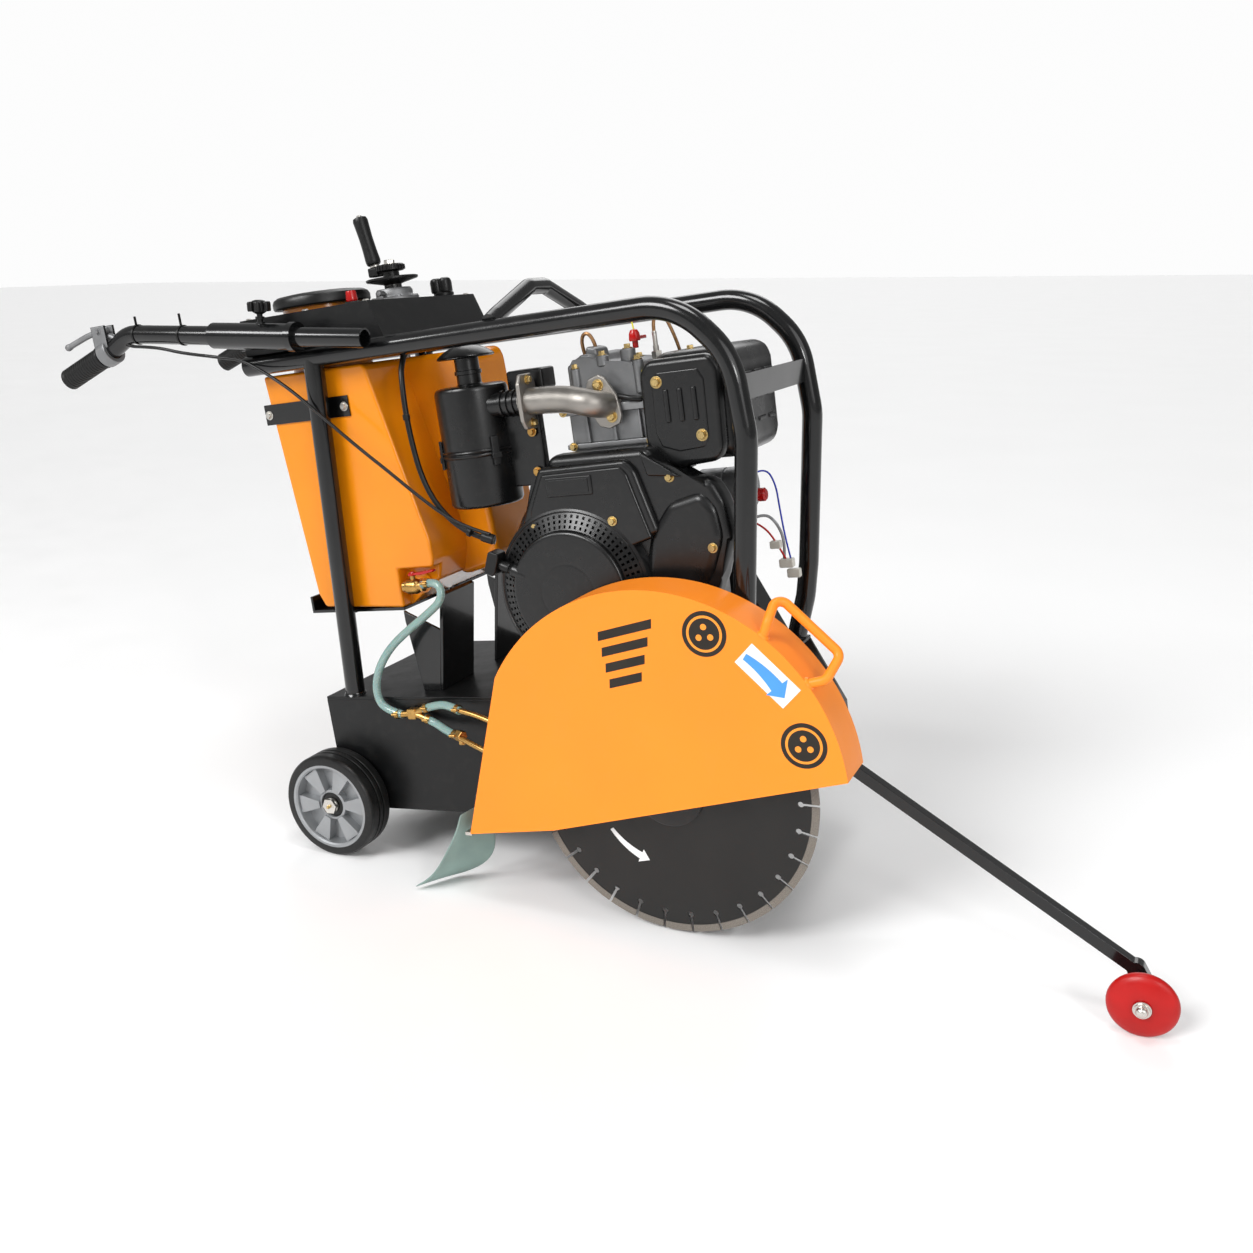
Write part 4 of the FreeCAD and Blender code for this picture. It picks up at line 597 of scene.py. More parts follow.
def water_feed():
    hoses = (("main", MAIN_HOSE, ("water_hoses",)), ("upper", UPPER_HOSE, ()), ("lower", LOWER_HOSE, ()))
    for name, route, replaces in hoses:
        strand(f"water_hose_{name}", route, HOSE_RADIUS, "frame", hose_clear, replaces, 24)
    body = Shape()
    body.rod(9, (VALVE[0], -150, VALVE[2]), (VALVE[0], -122.2, VALVE[2]), 24, 1)
    body.lathe([(0, 184), (9, 184), (10.5, 186), (10.5, 191), (13, 193), (14, 198), (14, 212), (12, 217),
                (9, 220), (9, 224), (0, 224)], (0, -156, 396), X, 32)
    body.bolt((224, -156, 396), X, 19, 5, False)
    body.rod(5, (*VALVE[:2], 404), (*VALVE[:2], 416), 16, 0.5)
    body.bolt((304, -237, 141), (1, -0.4, -0.1), 18, 14, False)
    body.bolt((316, -243, 138), (0, -0.2, -1), 11, 12, False)
    body.rod(6.5, (165, -207, 168), (196, -207, 170), 20, 0.8)
    for z in (181, 160):
        body.rod(6.2, (194, -207, 170), (222, -207, z), 20, 0.8)
    body.box((183, 201), (-214, -198), (160, 180), 2.5)
    clamps = (((243, -168, 403), X), ((158, -207, 168.5), X), ((224, -207.4, 181), (1, 0, 0.3)),
              ((224, -207.5, 159), (1, 0, -0.3)), ((302, -223, 184), (1, -0.3, -0.2)), ((298, -237, 141),
                                                                                        (1, -0.4, -0.1)),)
    for centre, axis in clamps:
        clamp_ring(body, centre, axis, HOSE_RADIUS + 0.1)
    body.piece("water_brass", "frame", brass, ("water_fittings",))
    strand("valve_barb", [(222, -156, 396), (227, -158, 397), (234, -166.5, 400.5)], 6.6, "frame", brass)
    strand("jet_pipe_upper", [(304, -225, 183), (345, -232, 178), (420, -238, 148), (480, -240, 112)], 5,
           "frame", brass)
    strand("jet_pipe_lower", [(300, -239, 140), (345, -258, 132), (425, -276, 106), (478, -276, 88)], 5,
           "frame", brass)
    lever = Shape()
    lever.rod(8, (*VALVE[:2], 416.2), (*VALVE[:2], 421), 24, 1)
    lever.prism([(200, 417), (228, 417), (236, 420), (256, 422), (256, 426), (234, 424), (226, 421),
                 (200, 421)], (-161, -151), 1.2)
    lever.bolt((*VALVE[:2], 420.8), Z, 8, 2.4, False)
    lever.piece("valve_lever_red", "valve_lever", red_plastic, ("valve_lever",))


def cables():
    strand("throttle_cable", THROTTLE_CABLE, 3, "frame", cable_jacket, ("control_cables",), 24)
    strand("wiring_loom", WIRING_LOOM, 5, "frame", cable_jacket, (), 24)
    ties = Shape()
    spots = (
        (7.5, 9, 4, 3, (366, -189, 495), (1, 0.1, -0.5)), (7.5, 9, 12, 10, (396, -183, 481), (1, 0.1, -0.4)),
        (5.5, 6.4, 5, 4, (276, -190, 700), Z),
    )
    for edge, crown, half, flat, centre, axis in spots:
        ties.lathe([(edge, -half), (crown, -flat), (crown, flat), (edge, half), (0.5, half), (0.5, -half)],
                   centre, axis, 20)
    ties.piece("cable_ties", "frame", cable_jacket)
    bar_cable = [(-332, -221, 914), (-316, -222, 905), (-290, -222, 889), (-250, -226, 884),
                 (-205, -229, 876), (-165, -222, 862), (-126, -208, 852)]
    strand("throttle_cable_bar", bar_cable, 3, "handlebar_near", cable_jacket, (), 24)
    loose = Shape()
    for x, tail in ((-268, 16), (-160, 22)):
        z = bar_height(x)
        loose.lathe([(17.2, -2), (18.6, -2), (18.6, 2), (17.2, 2)], (x, -215, z), (1, 0, -0.135), 28)
        loose.box((x - 1.5, x + 1.5), (-219, -215), (z + 17, z + 17 + tail), 0.6)
    loose.piece("bar_ties", "handlebar_near", cable_jacket)


water_feed()
cables()

# ---------------------------------------------------------------- blade, guard and guide


def curved_arrow(shape, centre, y, radius, width, first, last, head, thick=0.3):
    """A flat arrow along an arc, on a plane of constant Y."""
    outer, inner = [], []
    body_end = last + head
    steps = 14
    for step in range(steps + 1):
        angle = first + (body_end - first) * step / steps
        half = width * (0.25 + 0.25 * step / steps)
        outer.append(polar(centre, radius + half, angle))
        inner.append(polar(centre, radius - half, angle))
    wing_out = polar(centre, radius + width, body_end)
    wing_in = polar(centre, radius - width, body_end)
    outline = outer + [wing_out, polar(centre, radius, last), wing_in] + inner[::-1]
    shape.prism(outline, (y - thick, y))


def blade_group():
    repaint("saw_blade", blade_steel)
    repaint("blade_arbor", zinc)
    hub, side = BLADE_HUB, BLADE_Y
    flange = Shape()
    flange.lathe([(17.6, -1.7), (60, -1.7), (60, -8), (57, -10), (40, -12), (17.6, -12)], (hub[0], side,
                                                                                           hub[1]), Y, 72)
    flange.lathe([(17.6, 1.7), (60, 1.7), (60, 9), (56, 12), (17.6, 12)], (hub[0], side, hub[1]), Y, 72)
    flange.bolt((hub[0], side - 12, hub[1]), NEAR, 50, 15, False)
    for number in range(3):
        x, z = polar(hub, 42, 120 * number + 200)
        flange.rod(4, (x, side - 11.5, z), (x, side - 14, z), 16, 0.6)
    flange.piece("flange_pair", "blade_arbor", engine_paint, ("blade_flanges",))
    arrow = Shape()
    curved_arrow(arrow, hub, side - 1.65, 137, 13, 212, 247, -7)
    arrow.piece("blade_arrow", "blade_arbor", label_white)
    repaint("arbor_pulley", zinc)
    repaint("engine_pulley", zinc)
    repaint("drive_belts", cable_jacket)


def guard_group():
    rounded("blade_guard", guard_paint, 2.2, 3)
    face, centre = GUARD_FACE, GUARD_CENTRE
    label = Shape()
    corners = []
    mid = (915, 266.6)
    along = Vector((math.cos(math.radians(-47)), math.sin(math.radians(-47))))
    side_way = Vector((along.y, -along.x))
    for u, v in ((-50, -21), (50, -21), (50, 21), (-50, 21)):
        corners.append((mid[0] + along.x * u + side_way.x * v, mid[1] + along.y * u + side_way.y * v))
    label.prism(corners, (face - 0.35, face))
    label.piece("turn_label", "blade_guard", label_white)
    arrow = Shape()
    bend = (mid[0] - side_way.x * -190 - along.x * 10, mid[1] - side_way.y * -190 - along.y * 10)
    reach = math.hypot(mid[0] - bend[0], mid[1] - bend[1])
    facing = math.degrees(math.atan2(mid[1] - bend[1], mid[0] - bend[0]))
    curved_arrow(arrow, bend, face - 0.4, reach, 22, facing + 13.5, facing - 12.5, 6)
    arrow.piece("turn_arrow", "blade_guard", arrow_blue)
    for number, spot in enumerate(((821.6, 333.3), (960, 157.3))):
        disc = Shape()
        disc.lathe([(0, 0), (36, 0), (36, 0.35), (0, 0.35)], (spot[0], face, spot[1]), NEAR, 72)
        disc.piece(f"round_label_{number + 1}", "blade_guard", label_black)
        ring = Shape()
        ring.lathe([(25, 0.35), (29, 0.35), (29, 0.6), (25, 0.6)], (spot[0], face, spot[1]), NEAR, 72)
        for turn in range(3):
            x, z = polar(spot, 11, 90 + 120 * turn)
            ring.lathe([(0, 0.35), (5, 0.35), (5, 0.6), (0, 0.6)], (x, face, z), NEAR, 24)
        ring.piece(f"round_label_mark_{number + 1}", "blade_guard", label_orange)
    stripes = Shape()
    for number, size in enumerate((95, 82, 70, 58)):
        x, z = 642 + number * 3, 340 - number * 26
        stripes.prism([(x, z), (x + size, z + 0.2 * size), (x + size - 2, z + 0.2 * size - 15),
                       (x - 2, z - 15)], (face - 0.35, face))
    stripes.piece("side_stripes", "blade_guard", label_black)
    welds = Shape()
    for angle in (48.9, 31.4):
        x, z = polar(centre, 319, angle)
        out = Vector((x - centre[0], 0, z - centre[1])).normalized()
        welds.lathe([(7, 0), (11, 0.2), (9.5, 2.5), (7, 4)], (x, -288, z), out, 24)
    welds.piece("guard_welds", "blade_guard", guard_paint)


def guide_group():
    rounded("guide_arm", frame_paint, 1.5)
    height = (50 - 100 - 1408.7 * math.sin(PITCH)) / math.cos(PITCH)
    at = (1408.7, -253, height)
    wheel = Shape()
    wheel.lathe([(6.05, 9), (16, 9), (18, 7.5), (40, 5.5), (46, 5), (49, 3), (50, 0), (49.4, -4), (46, -8),
                 (38, -11.5), (26, -14), (18, -15), (14, -13.5), (10, -15), (6.05, -15)], at, Y, 96)
    wheel.piece("guide_wheel_domed", "guide_wheel", wheel_plastic, ("guide_wheel",), 50)
    nut = Shape()
    nut.lathe([(0, -28.5), (4, -28.3), (7, -26.5), (8.5, -23.5), (8.5, -21), (11.2, -21), (11.2, -17.5),
               (13, -17.2), (13, -15.2), (0, -15.2)], at, Y, 24)
    nut.piece("guide_dome_nut", "guide_arm", zinc)
    hinge = Shape()
    hinge.bolt((885, -206, 175), NEAR, 17, 7)
    hinge.bolt((885, -176, 175), Y, 17, 7)
    hinge.piece("guide_hinge_bolt", "guide_arm", zinc)


def flap_group():
    near = [(316, -290, 12), (308, -290, -8), (294, -291, -33), (277, -295, -58), (263, -300, -80),
            (248, -305, -98), (230, -310, -112), (206, -315, -123)]
    far = [(331, -212, 12), (332, -212, -10), (332, -212, -34), (331, -213, -60), (327, -214, -84),
           (312, -218, -106), (286, -226, -120), (250, -238, -128.5)]
    steps = 12
    bm = bmesh.new()
    rows = []
    for number, (start, end) in enumerate(zip(near, far)):
        grow = number / (len(near) - 1)
        row = []
        for step in range(steps + 1):
            across = step / steps
            place = Vector(start).lerp(Vector(end), across)
            crown = math.sin(across * math.pi) * 9 * grow * (1.1 - grow)
            row.append(bm.verts.new(place + Vector((-crown, 0, crown * 0.8))))
        rows.append(row)
    for first, second in zip(rows, rows[1:]):
        for step in range(steps):
            bm.faces.new((first[step], first[step + 1], second[step + 1], second[step]))
    mesh = bpy.data.meshes.new("splash_flap_sheet")
    bm.to_mesh(mesh)
    bm.free()
    mesh.transform(STANCE)
    flap = settle("splash_flap_sheet", mesh, "frame", flap_rubber, ("splash_flap",), 180, False)
    thick = flap.modifiers.new("Thick", "SOLIDIFY")
    thick.thickness = 0.0032
    thick.offset = 0
    smooth = flap.modifiers.new("Smooth", "SUBSURF")
    smooth.levels = 2
    smooth.render_levels = 2


blade_group()
guard_group()
guide_group()
flap_group()

# ---------------------------------------------------------------- wheels


def rear_wheels():
    for side, sign in (("near", -1), ("far", 1)):
        at = Vector((0, sign * 230, 0))
        body = f"rear_wheel_{side}"
        tyre = Shape()
        half = [(100, 3.5), (99.4, 4.5), (96.5, 5), (96.5, 8), (99.4, 8.5), (100, 9.5), (100, 21), (99, 25.5),
                (96.5, 28.6), (92, 30), (82.7, 30)]
        tyre.lathe(mirrored(half), at, Y, 128)
        tyre.piece(f"rear_tread_{side}", body, tyre_rubber, (f"rear_tyre_{side}",), 30)
        rim = Shape()
        rim.lathe([(82.7, -29.6), (82.7, 29.6), (78, 29.6), (75.5, 27), (73, 9), (73, -9), (75.5, -27),
                   (78, -29.6)], at, Y, 96)
        rim.lathe([(73.4, -6), (73.4, 6), (22, 6), (22, -6)], at, Y, 96)
        hub = [(31, 6), (29.5, 18.5), (27.5, 19.4), (25, 19.4), (24, 12), (10.1, 12)]
        rim.lathe(mirrored(hub), at, Y, 64)
        for number in range(6):
            turn = turned(at, 60 * number, "Y")
            for low, high in ((-23, -5), (5, 23)):
                rim.prism([(28, -7), (66, -17), (74, -18), (74, 18), (66, 17), (28, 7)], (low, high), 1.6, 2,
                          turn)
        rim.piece(f"rear_wheel_rim_{side}", body, rim_casting, (f"rear_rim_{side}",), 32)
        seal = Shape()
        for facing in (-1, 1):
            seal.lathe([(10.1, 12), (24, 12), (24.4, 16), (18, 17.6), (10.1, 17.6)], at, facing * Y, 48)
        seal.piece(f"hub_seal_{side}", body, tyre_rubber)
        outer = sign * 250
        cap = Shape()
        cap.lathe([(0, 0), (14.5, 0), (14.5, 3), (12.5, 5), (0, 5)], (0, outer, 0), sign * Y, 40)
        cap.piece(f"axle_cap_{side}", "frame", zinc)
        nut = Shape()
        nut.bolt((0, sign * 254.8, 0), sign * Y, 10, 4, False)
        nut.lathe([(0, 3.5), (3.4, 3.5), (3.4, 8), (2.2, 10), (0, 10)], (0, sign * 254.8, 0), sign * Y, 20)
        nut.piece(f"axle_nipple_{side}", "frame", yellow_zinc)
        wheel = Shape()
        spot = Vector((570, sign * 149, -102.09))
        wheel.lathe([(10.1, -19), (22, -19), (24, -10), (56, -10), (59, -19), (70, -19), (74, -16), (75, -12),
                     (75, 12), (74, 16), (70, 19), (59, 19), (56, 10), (24, 10), (22, 19), (10.1, 19)], spot,
                    Y, 96)
        wheel.piece(f"front_roller_{side}", f"front_wheel_{side}", tyre_rubber, (f"front_wheel_{side}",), 32)
    repaint("rear_axle", zinc)


rear_wheels()

# ---------------------------------------------------------------- chassis and cage


def chassis_group():
    rounded("chassis_deck", sheet_paint, 1.2)
    rounded("chassis_panels", sheet_paint, 1.2)
    rounded("belt_guard", sheet_paint, 2)
    rounded("swing_frame", frame_paint, 1)
    rounded("arbor_bearings", casting, 1.5)
    rounded("depth_nut", zinc, 0.8)
    painted = ("cage_near", "cage_far", "cage_braces", "bar_sleeve_near", "bar_sleeve_far", "handlebar_far",
               "handlebar_near")
    for node in painted:
        repaint(node, frame_paint)
    repaint("machine_bolts", zinc)
    repaint("depth_screw", zinc)
    rounded("tank_support", frame_paint, 0.8)
    welds = Shape()
    for sign in (-1, 1):
        y = sign * 175
        for x, axis in ((44, (0.07, 0, 1)), (806, (0.3, 0, 1))):
            welds.lathe([(17.6, 0), (22, 0), (20.5, 3.5), (18, 6), (17.6, 5)], (x, y, 196.5), axis, 36)
    welds.piece("post_welds", "frame", frame_paint)
    heads = Shape()
    for sign in (-1, 1):
        for x, z in ((671.5, 21), (751.5, 21), (671.5, 101), (751.5, 101)):
            heads.bolt((x, sign * 193, z), sign * Y, 13, 6)
    for x, y in ((427, -44), (427, 120), (713, -44), (713, 120)):
        heads.bolt((x, y, 216), Z, 17, 9)
    heads.piece("chassis_bolts", "frame", zinc)
    plate = Shape()
    plate.box((40, 120), (199.4, 200.6), (60, 108), 0.5)
    plate.piece("blank_plate", "frame", zinc)


chassis_group()

# ---------------------------------------------------------------- tank, console and controls


def tank_group():
    tank = Shape()
    side = [(-52, 800), (-20, 388), (-8, 362), (172, 356), (240, 400), (253, 442), (252, 481), (178, 792),
            (170, 800)]
    tank.prism(side, (-152, 152), 0)
    body = tank.piece("tank_shell", "frame", tank_plastic, ("water_tank",), 40, False)
    cutter = Shape()
    cutter.prism([(172, 340), (290, 340), (290, 428), (172, 428)], (-160, -122), 0)
    carve(body, cutter, 12, 5)
    bulge = Shape()
    bulge.prism([(150, 800), (292, 800), (300, 780), (318, 424), (306, 404), (240, 388), (190, 410)],
                (-34, 132), 14, 4)
    bulge.lathe([(70, 790), (74, 790), (74, 928), (72, 930), (70, 928)], LID, Z, 72)
    bulge.lathe([(74, 862), (77, 864), (77, 868), (74, 870)], LID, Z, 72)
    bulge.lathe([(0, 0), (17, 0), (19, 1.5), (19, 4), (12, 5), (0, 5)], (206, -123, 396), NEAR, 48)
    bulge.piece("tank_front", "frame", tank_plastic, (), 40)
    lid = Shape()
    lid.lathe([(74.6, 914), (80, 913), (88, 914), (90, 917), (90, 926), (87, 932), (80, 936), (60, 938.5),
               (0, 940), (0, 930.4), (74.6, 930.4)], LID, Z, 128)
    lid.piece("filler_cap", "tank_lid", black_plastic, ("tank_lid",), 32)
    strap = Shape()
    for x in (-50, 122):
        strap.bolt((x, -155.2, 730), NEAR, 10, 4)
    strap.piece("strap_bolts", "frame", zinc)


def console_group():
    rounded("console_box", sheet_paint, 1.5)
    screws = Shape()
    for x, y in ((-48, -163), (-48, 163), (214, -163), (214, 163), (84, -166), (84, 166)):
        screws.lathe([(0, 0), (6, 0), (6, 1), (4.5, 2.6), (0, 3.1)], (x, y, 903), Z, 24)
    screws.piece("console_screws", "frame", zinc)
    collar = Shape()
    at = CRANK_SCREW
    collar.lathe([(10.1, 903), (44, 903), (44, 909), (36, 911), (34, 914), (34, 921), (31, 926), (10.1, 926)],
                 at, Z, 72)
    for number in range(4):
        x, y = polar(at, 39.5, 45 + 90 * number)
        collar.bolt((x, y, 908.5), Z, 7, 4, False)
    collar.rod(4.5, (at[0], -33, 918), (at[0], -50, 918), 16, 0.8)
    collar.piece("collar_casting", "frame", casting, ("crank_collar",), 32)
    crank = Shape()
    crank.lathe([(10, 926.4), (16, 926.4), (16, 933), (20, 934.5), (46, 940.5), (48, 942), (48, 945),
                 (45, 946), (24, 944.6), (15, 946), (15, 956), (24, 957), (26, 958.5), (26, 967), (24, 969),
                 (0, 969), (0, 964), (10, 964)], at, Z, 96)
    for number in range(24):
        turn = turned(at, 15 * number, "Z")
        crank.box((25, 27.5), (-2, 2), (958.5, 967), 0.7, 2, turn)
    for number in range(12):
        turn = turned(at, 30 * number, "Z")
        crank.box((36, 46), (-0.7, 0.7), (944.9, 945.9), 0, 1, turn)
    crank.box((118.4, 140.4), (-11, 11), (951, 968), 3, 3)
    crank.piece("crank_disc", "depth_crank", black_plastic, ("crank_wheel",), 32)
    nut = Shape()
    nut.bolt((*at[:2], 969), Z, 17, 7)
    lean = Vector((-math.sin(math.radians(10)), 0, math.cos(math.radians(10))))
    foot = Vector((129.4, 0, 969))
    nut.rod(5, foot - lean * 14, foot + lean * 96, 20, 0.8)
    nut.rod(9, foot - lean * 1, foot + lean * 3, 20, 0.8)
    nut.piece("crank_nut_pin", "depth_crank", zinc)
    grip = Shape()
    grip.lathe([(5.06, 4), (11, 4), (13, 6), (14, 12), (13, 30), (12.6, 55), (13.6, 78), (14, 86), (12.5, 91),
                (9, 92.5), (5.06, 92.5)], foot, lean, 48)
    grip.piece("crank_handle", "crank_grip", black_plastic, ("crank_grip",), 40)
    stop = Shape()
    stop.lathe([(0, 888), (8.9, 888), (8.9, 909), (10, 910), (10.4, 912), (9.2, 925), (8, 927), (0, 927.4)],
               STOP_SPOT, Z, 48)
    stop.piece("stop_mushroom", "stop_button", red_plastic, ("stop_button",), 40)
    base = Shape()
    base.lathe([(9.4, 903), (15, 903), (15, 906), (13, 908.5), (9.4, 908.5)], STOP_SPOT, Z, 48)
    base.piece("stop_bezel", "frame", black_plastic)
    dial = Shape()
    dial.lathe([(0, 892), (5, 892), (5, 904), (19, 904), (19, 909), (16, 912), (0, 912)], DIAL_SPOT, Z, 48)
    for number in range(3):
        x, y = polar(DIAL_SPOT, 11, 90 + 120 * number)
        dial.lathe([(0, 910), (10.5, 910), (12, 913), (12, 930), (10, 935), (6, 937), (0, 937)], (x, y, 0), Z,
                   32)
    dial.piece("dial_knob", "throttle_dial", black_plastic, ("throttle_dial",), 40)


def grip_line(y):
    """Where a grip starts on its handlebar, and the direction it runs in."""
    start, end = (Vector((x, y, z)) for x, z in (GRIP_START, GRIP_END))
    return start, (end - start).normalized()


def handlebar_group():
    up = Vector((math.sin(PITCH), 0, math.cos(PITCH)))
    for side, sign in (("near", -1), ("far", 1)):
        y = sign * BAR_Y
        foot = Vector((18, y, bar_height(18)))
        knob = Shape()
        knob.lathe([(0, 17.4), (5, 17.4), (5, 30), (8, 30.5), (8, 34), (5, 34.5), (5, 38), (9, 40), (13, 43),
                    (13, 58), (11, 61), (6, 62.5), (0, 62.8)], foot, up, 36)
        fore = Y.cross(up)
        for number in range(6):
            angle = math.radians(60 * number)
            spot = foot + (fore * math.cos(angle) + Y * math.sin(angle)) * 15.5
            knob.lathe([(0, 43), (4.6, 43), (5.6, 45), (5.6, 57), (4.2, 59.4), (0, 60)], spot, up, 20)
        knob.piece(f"star_head_{side}", f"star_knob_{side}", black_plastic, (f"star_knob_{side}",), 40)
        start, run = grip_line(y)
        profile = [(17.15, 22), (21.5, 22), (22, 24), (22, 27), (19.6, 28.5)]
        for number in range(14):
            reach = 32 + number * 6.6
            profile += [(19.4, reach), (20.5, reach + 1.2), (20.5, reach + 4.2), (19.4, reach + 5.2)]
        profile += [(20.4, 127), (20.5, 130), (18, 132.5), (0, 133), (0, 127.6), (17.15, 127.6)]
        grip = Shape()
        grip.lathe(profile, start, run, 64)
        grip.piece(f"ribbed_grip_{side}", f"handlebar_{side}", grip_rubber, (f"grip_{side}",), 40)
    blade = [(-352, -219.5, 924), (-366, -219.5, 924), (-390, -219.5, 921), (-418, -219.5, 914),
             (-448, -219.5, 906)]
    strand("lever_blade", blade, 5.6, "throttle_lever", casting, ("throttle_lever",), 20)
    hub = Shape()
    hub.rod(9, (-352, -227.4, 924), (-352, -211.6, 924), 32, 1)
    hub.rod(3, (-352, -235.6, 924), (-352, -203, 924), 20, 0.4)
    hub.bolt((-352, -232.2, 924), NEAR, 8, 3)
    hub.lathe([(0, -4), (5.6, -4), (6.4, 0), (6.6, 5), (5.4, 8), (0, 8.5)], (-446, -219.5, 906.4),
              (-1, 0, -0.27), 32)
    hub.piece("lever_hub", "throttle_lever", casting, (), 40)
    perch = Shape()
    start, run = grip_line(-BAR_Y)
    perch.lathe([(17.3, -7), (23.8, -7), (24.8, -5.5), (24.8, 15.5), (23.8, 17), (17.3, 17)], start, run, 56)
    for cheek in ((-233, -227.6), (-211.6, -206.4)):
        perch.box((-369, -335), cheek, (893, 934), 2.5, 3)
    perch.box((-350, -335), (-230, -209), (897, 905), 2, 3)
    perch.rod(6, (-336, -221, 914), (-318, -222, 906), 24, 1)
    perch.bolt((-356, -190.5, 884), Y, 8, 4)
    perch.piece("lever_perch", "handlebar_near", casting, (), 40)


tank_group()
console_group()
handlebar_group()

# ---------------------------------------------------------------- engine


def shroud_group():
    body = Shape()
    outline = [(498, 562), (450, 509), (410, 440), (407, 378), (420, 330), (470, 262), (640, 240), (760, 262),
               (805, 389), (836, 452), (827, 513), (807, 551), (739, 556), (706, 608), (520, 608)]
    body.prism(outline, (-160, -112.5), 16, 5)
    body.prism([(640, 300), (745, 320), (800, 400), (822, 455), (815, 505), (790, 535), (730, 520),
                (690, 470)], (-168, -120), 22, 5)
    body.prism([(505, 590), (664, 593), (682, 575), (712, 470), (640, 440), (455, 440), (462, 505)],
               (-172, -130), 9, 4)
    body.prism([(512, 580), (657, 583), (669, 570), (700, 462), (660, 450), (480, 450), (482, 520)],
               (-176.5, -150), 5, 4)
    badge = [(520, 541), (606, 541), (606, 574), (520, 574)]
    body.prism(badge, (-179.5, -160), 3, 3)
    body.prism([(526, 546), (600, 546), (600, 569), (526, 569)], (-180.6, -170), 1, 2)
    body.prism([(690, 604), (742, 566), (760, 556), (700, 562)], (-166, -130), 4, 3)
    body.lathe([(136, -178), (141, -176), (144, -168), (148, -150), (118, -150), (118, -170), (134, -176)],
               CRANKSHAFT, Y, 128)
    body.piece("blower_housing", "frame", engine_paint, ("engine_shroud",), 40)
    cage = Shape()
    at = CRANKSHAFT
    for inner, level in ((105, -188), (113.5, -184.5), (122, -181), (130.5, -177.5)):
        cage.lathe([(inner, level), (inner + 3.4, level + 1.4), (inner + 3.4, level + 4),
                    (inner, level + 2.6)], at, Y, 128)
    tilt = turned((105, -186.6, 0), 22.4, "Z")
    for number in range(72):
        turn = turned(at, 5 * number, "Y")
        cage.prism([(0, -2.8), (30, -3.4), (30, 3.4), (0, 2.8)], (-1.2, 1.2), 0, 1, turn @ tilt)
    cage.piece("recoil_lattice", "frame", engine_paint, (), 32)
    dish = Shape()
    dish.lathe([(0, -198.5), (46, -198.5), (48, -197.7), (52, -197.7), (54, -198.5), (98, -198.5),
                (103, -197.5), (106, -194), (106.5, -180), (103, -180), (103, -190), (0, -190)], at, Y, 128)
    angle = math.radians(158)
    pull = Vector((math.cos(angle), 0, math.sin(angle)))
    eye = Vector((at[0] + 108 * math.cos(angle), -186, at[2] + 108 * math.sin(angle)))
    dish.lathe([(3.4, -24), (13, -24), (13, 3), (11, 7), (8.5, 11), (3.4, 11)], eye, pull, 32)
    dish.piece("recoil_dish", "frame", engine_paint, ("recoil_cover",), 40)
    handle = Shape()
    handle.rod(3, eye - pull * 64, eye + pull * 18, 16)
    handle.lathe([(3, 12.6), (8.5, 12.6), (9.5, 15), (9.5, 26), (8, 30), (8, 36), (3, 36)], eye, pull, 32)
    spot = eye + pull * 44
    turn = turned(spot + 2 * Y, 22, "Y")
    handle.prism([(-11, -17), (-7, -21), (8, -21), (11, -14), (11, 14), (8, 21), (-7, 21), (-11, 17)],
                 (-15, 15), 4, 3, turn)
    handle.piece("pull_handle", "recoil_grip", black_plastic, ("recoil_grip",), 35)
    heads = Shape()
    for x, z, y in ((486, 494, -172), (634, 495, -177), (737, 557, -160), (408, 388, -160), (660, 270, -160),
                    (800, 440, -168)):
        heads.bolt((x, y, z), NEAR, 10, 5)
    heads.piece("shroud_bolts", "frame", yellow_zinc)


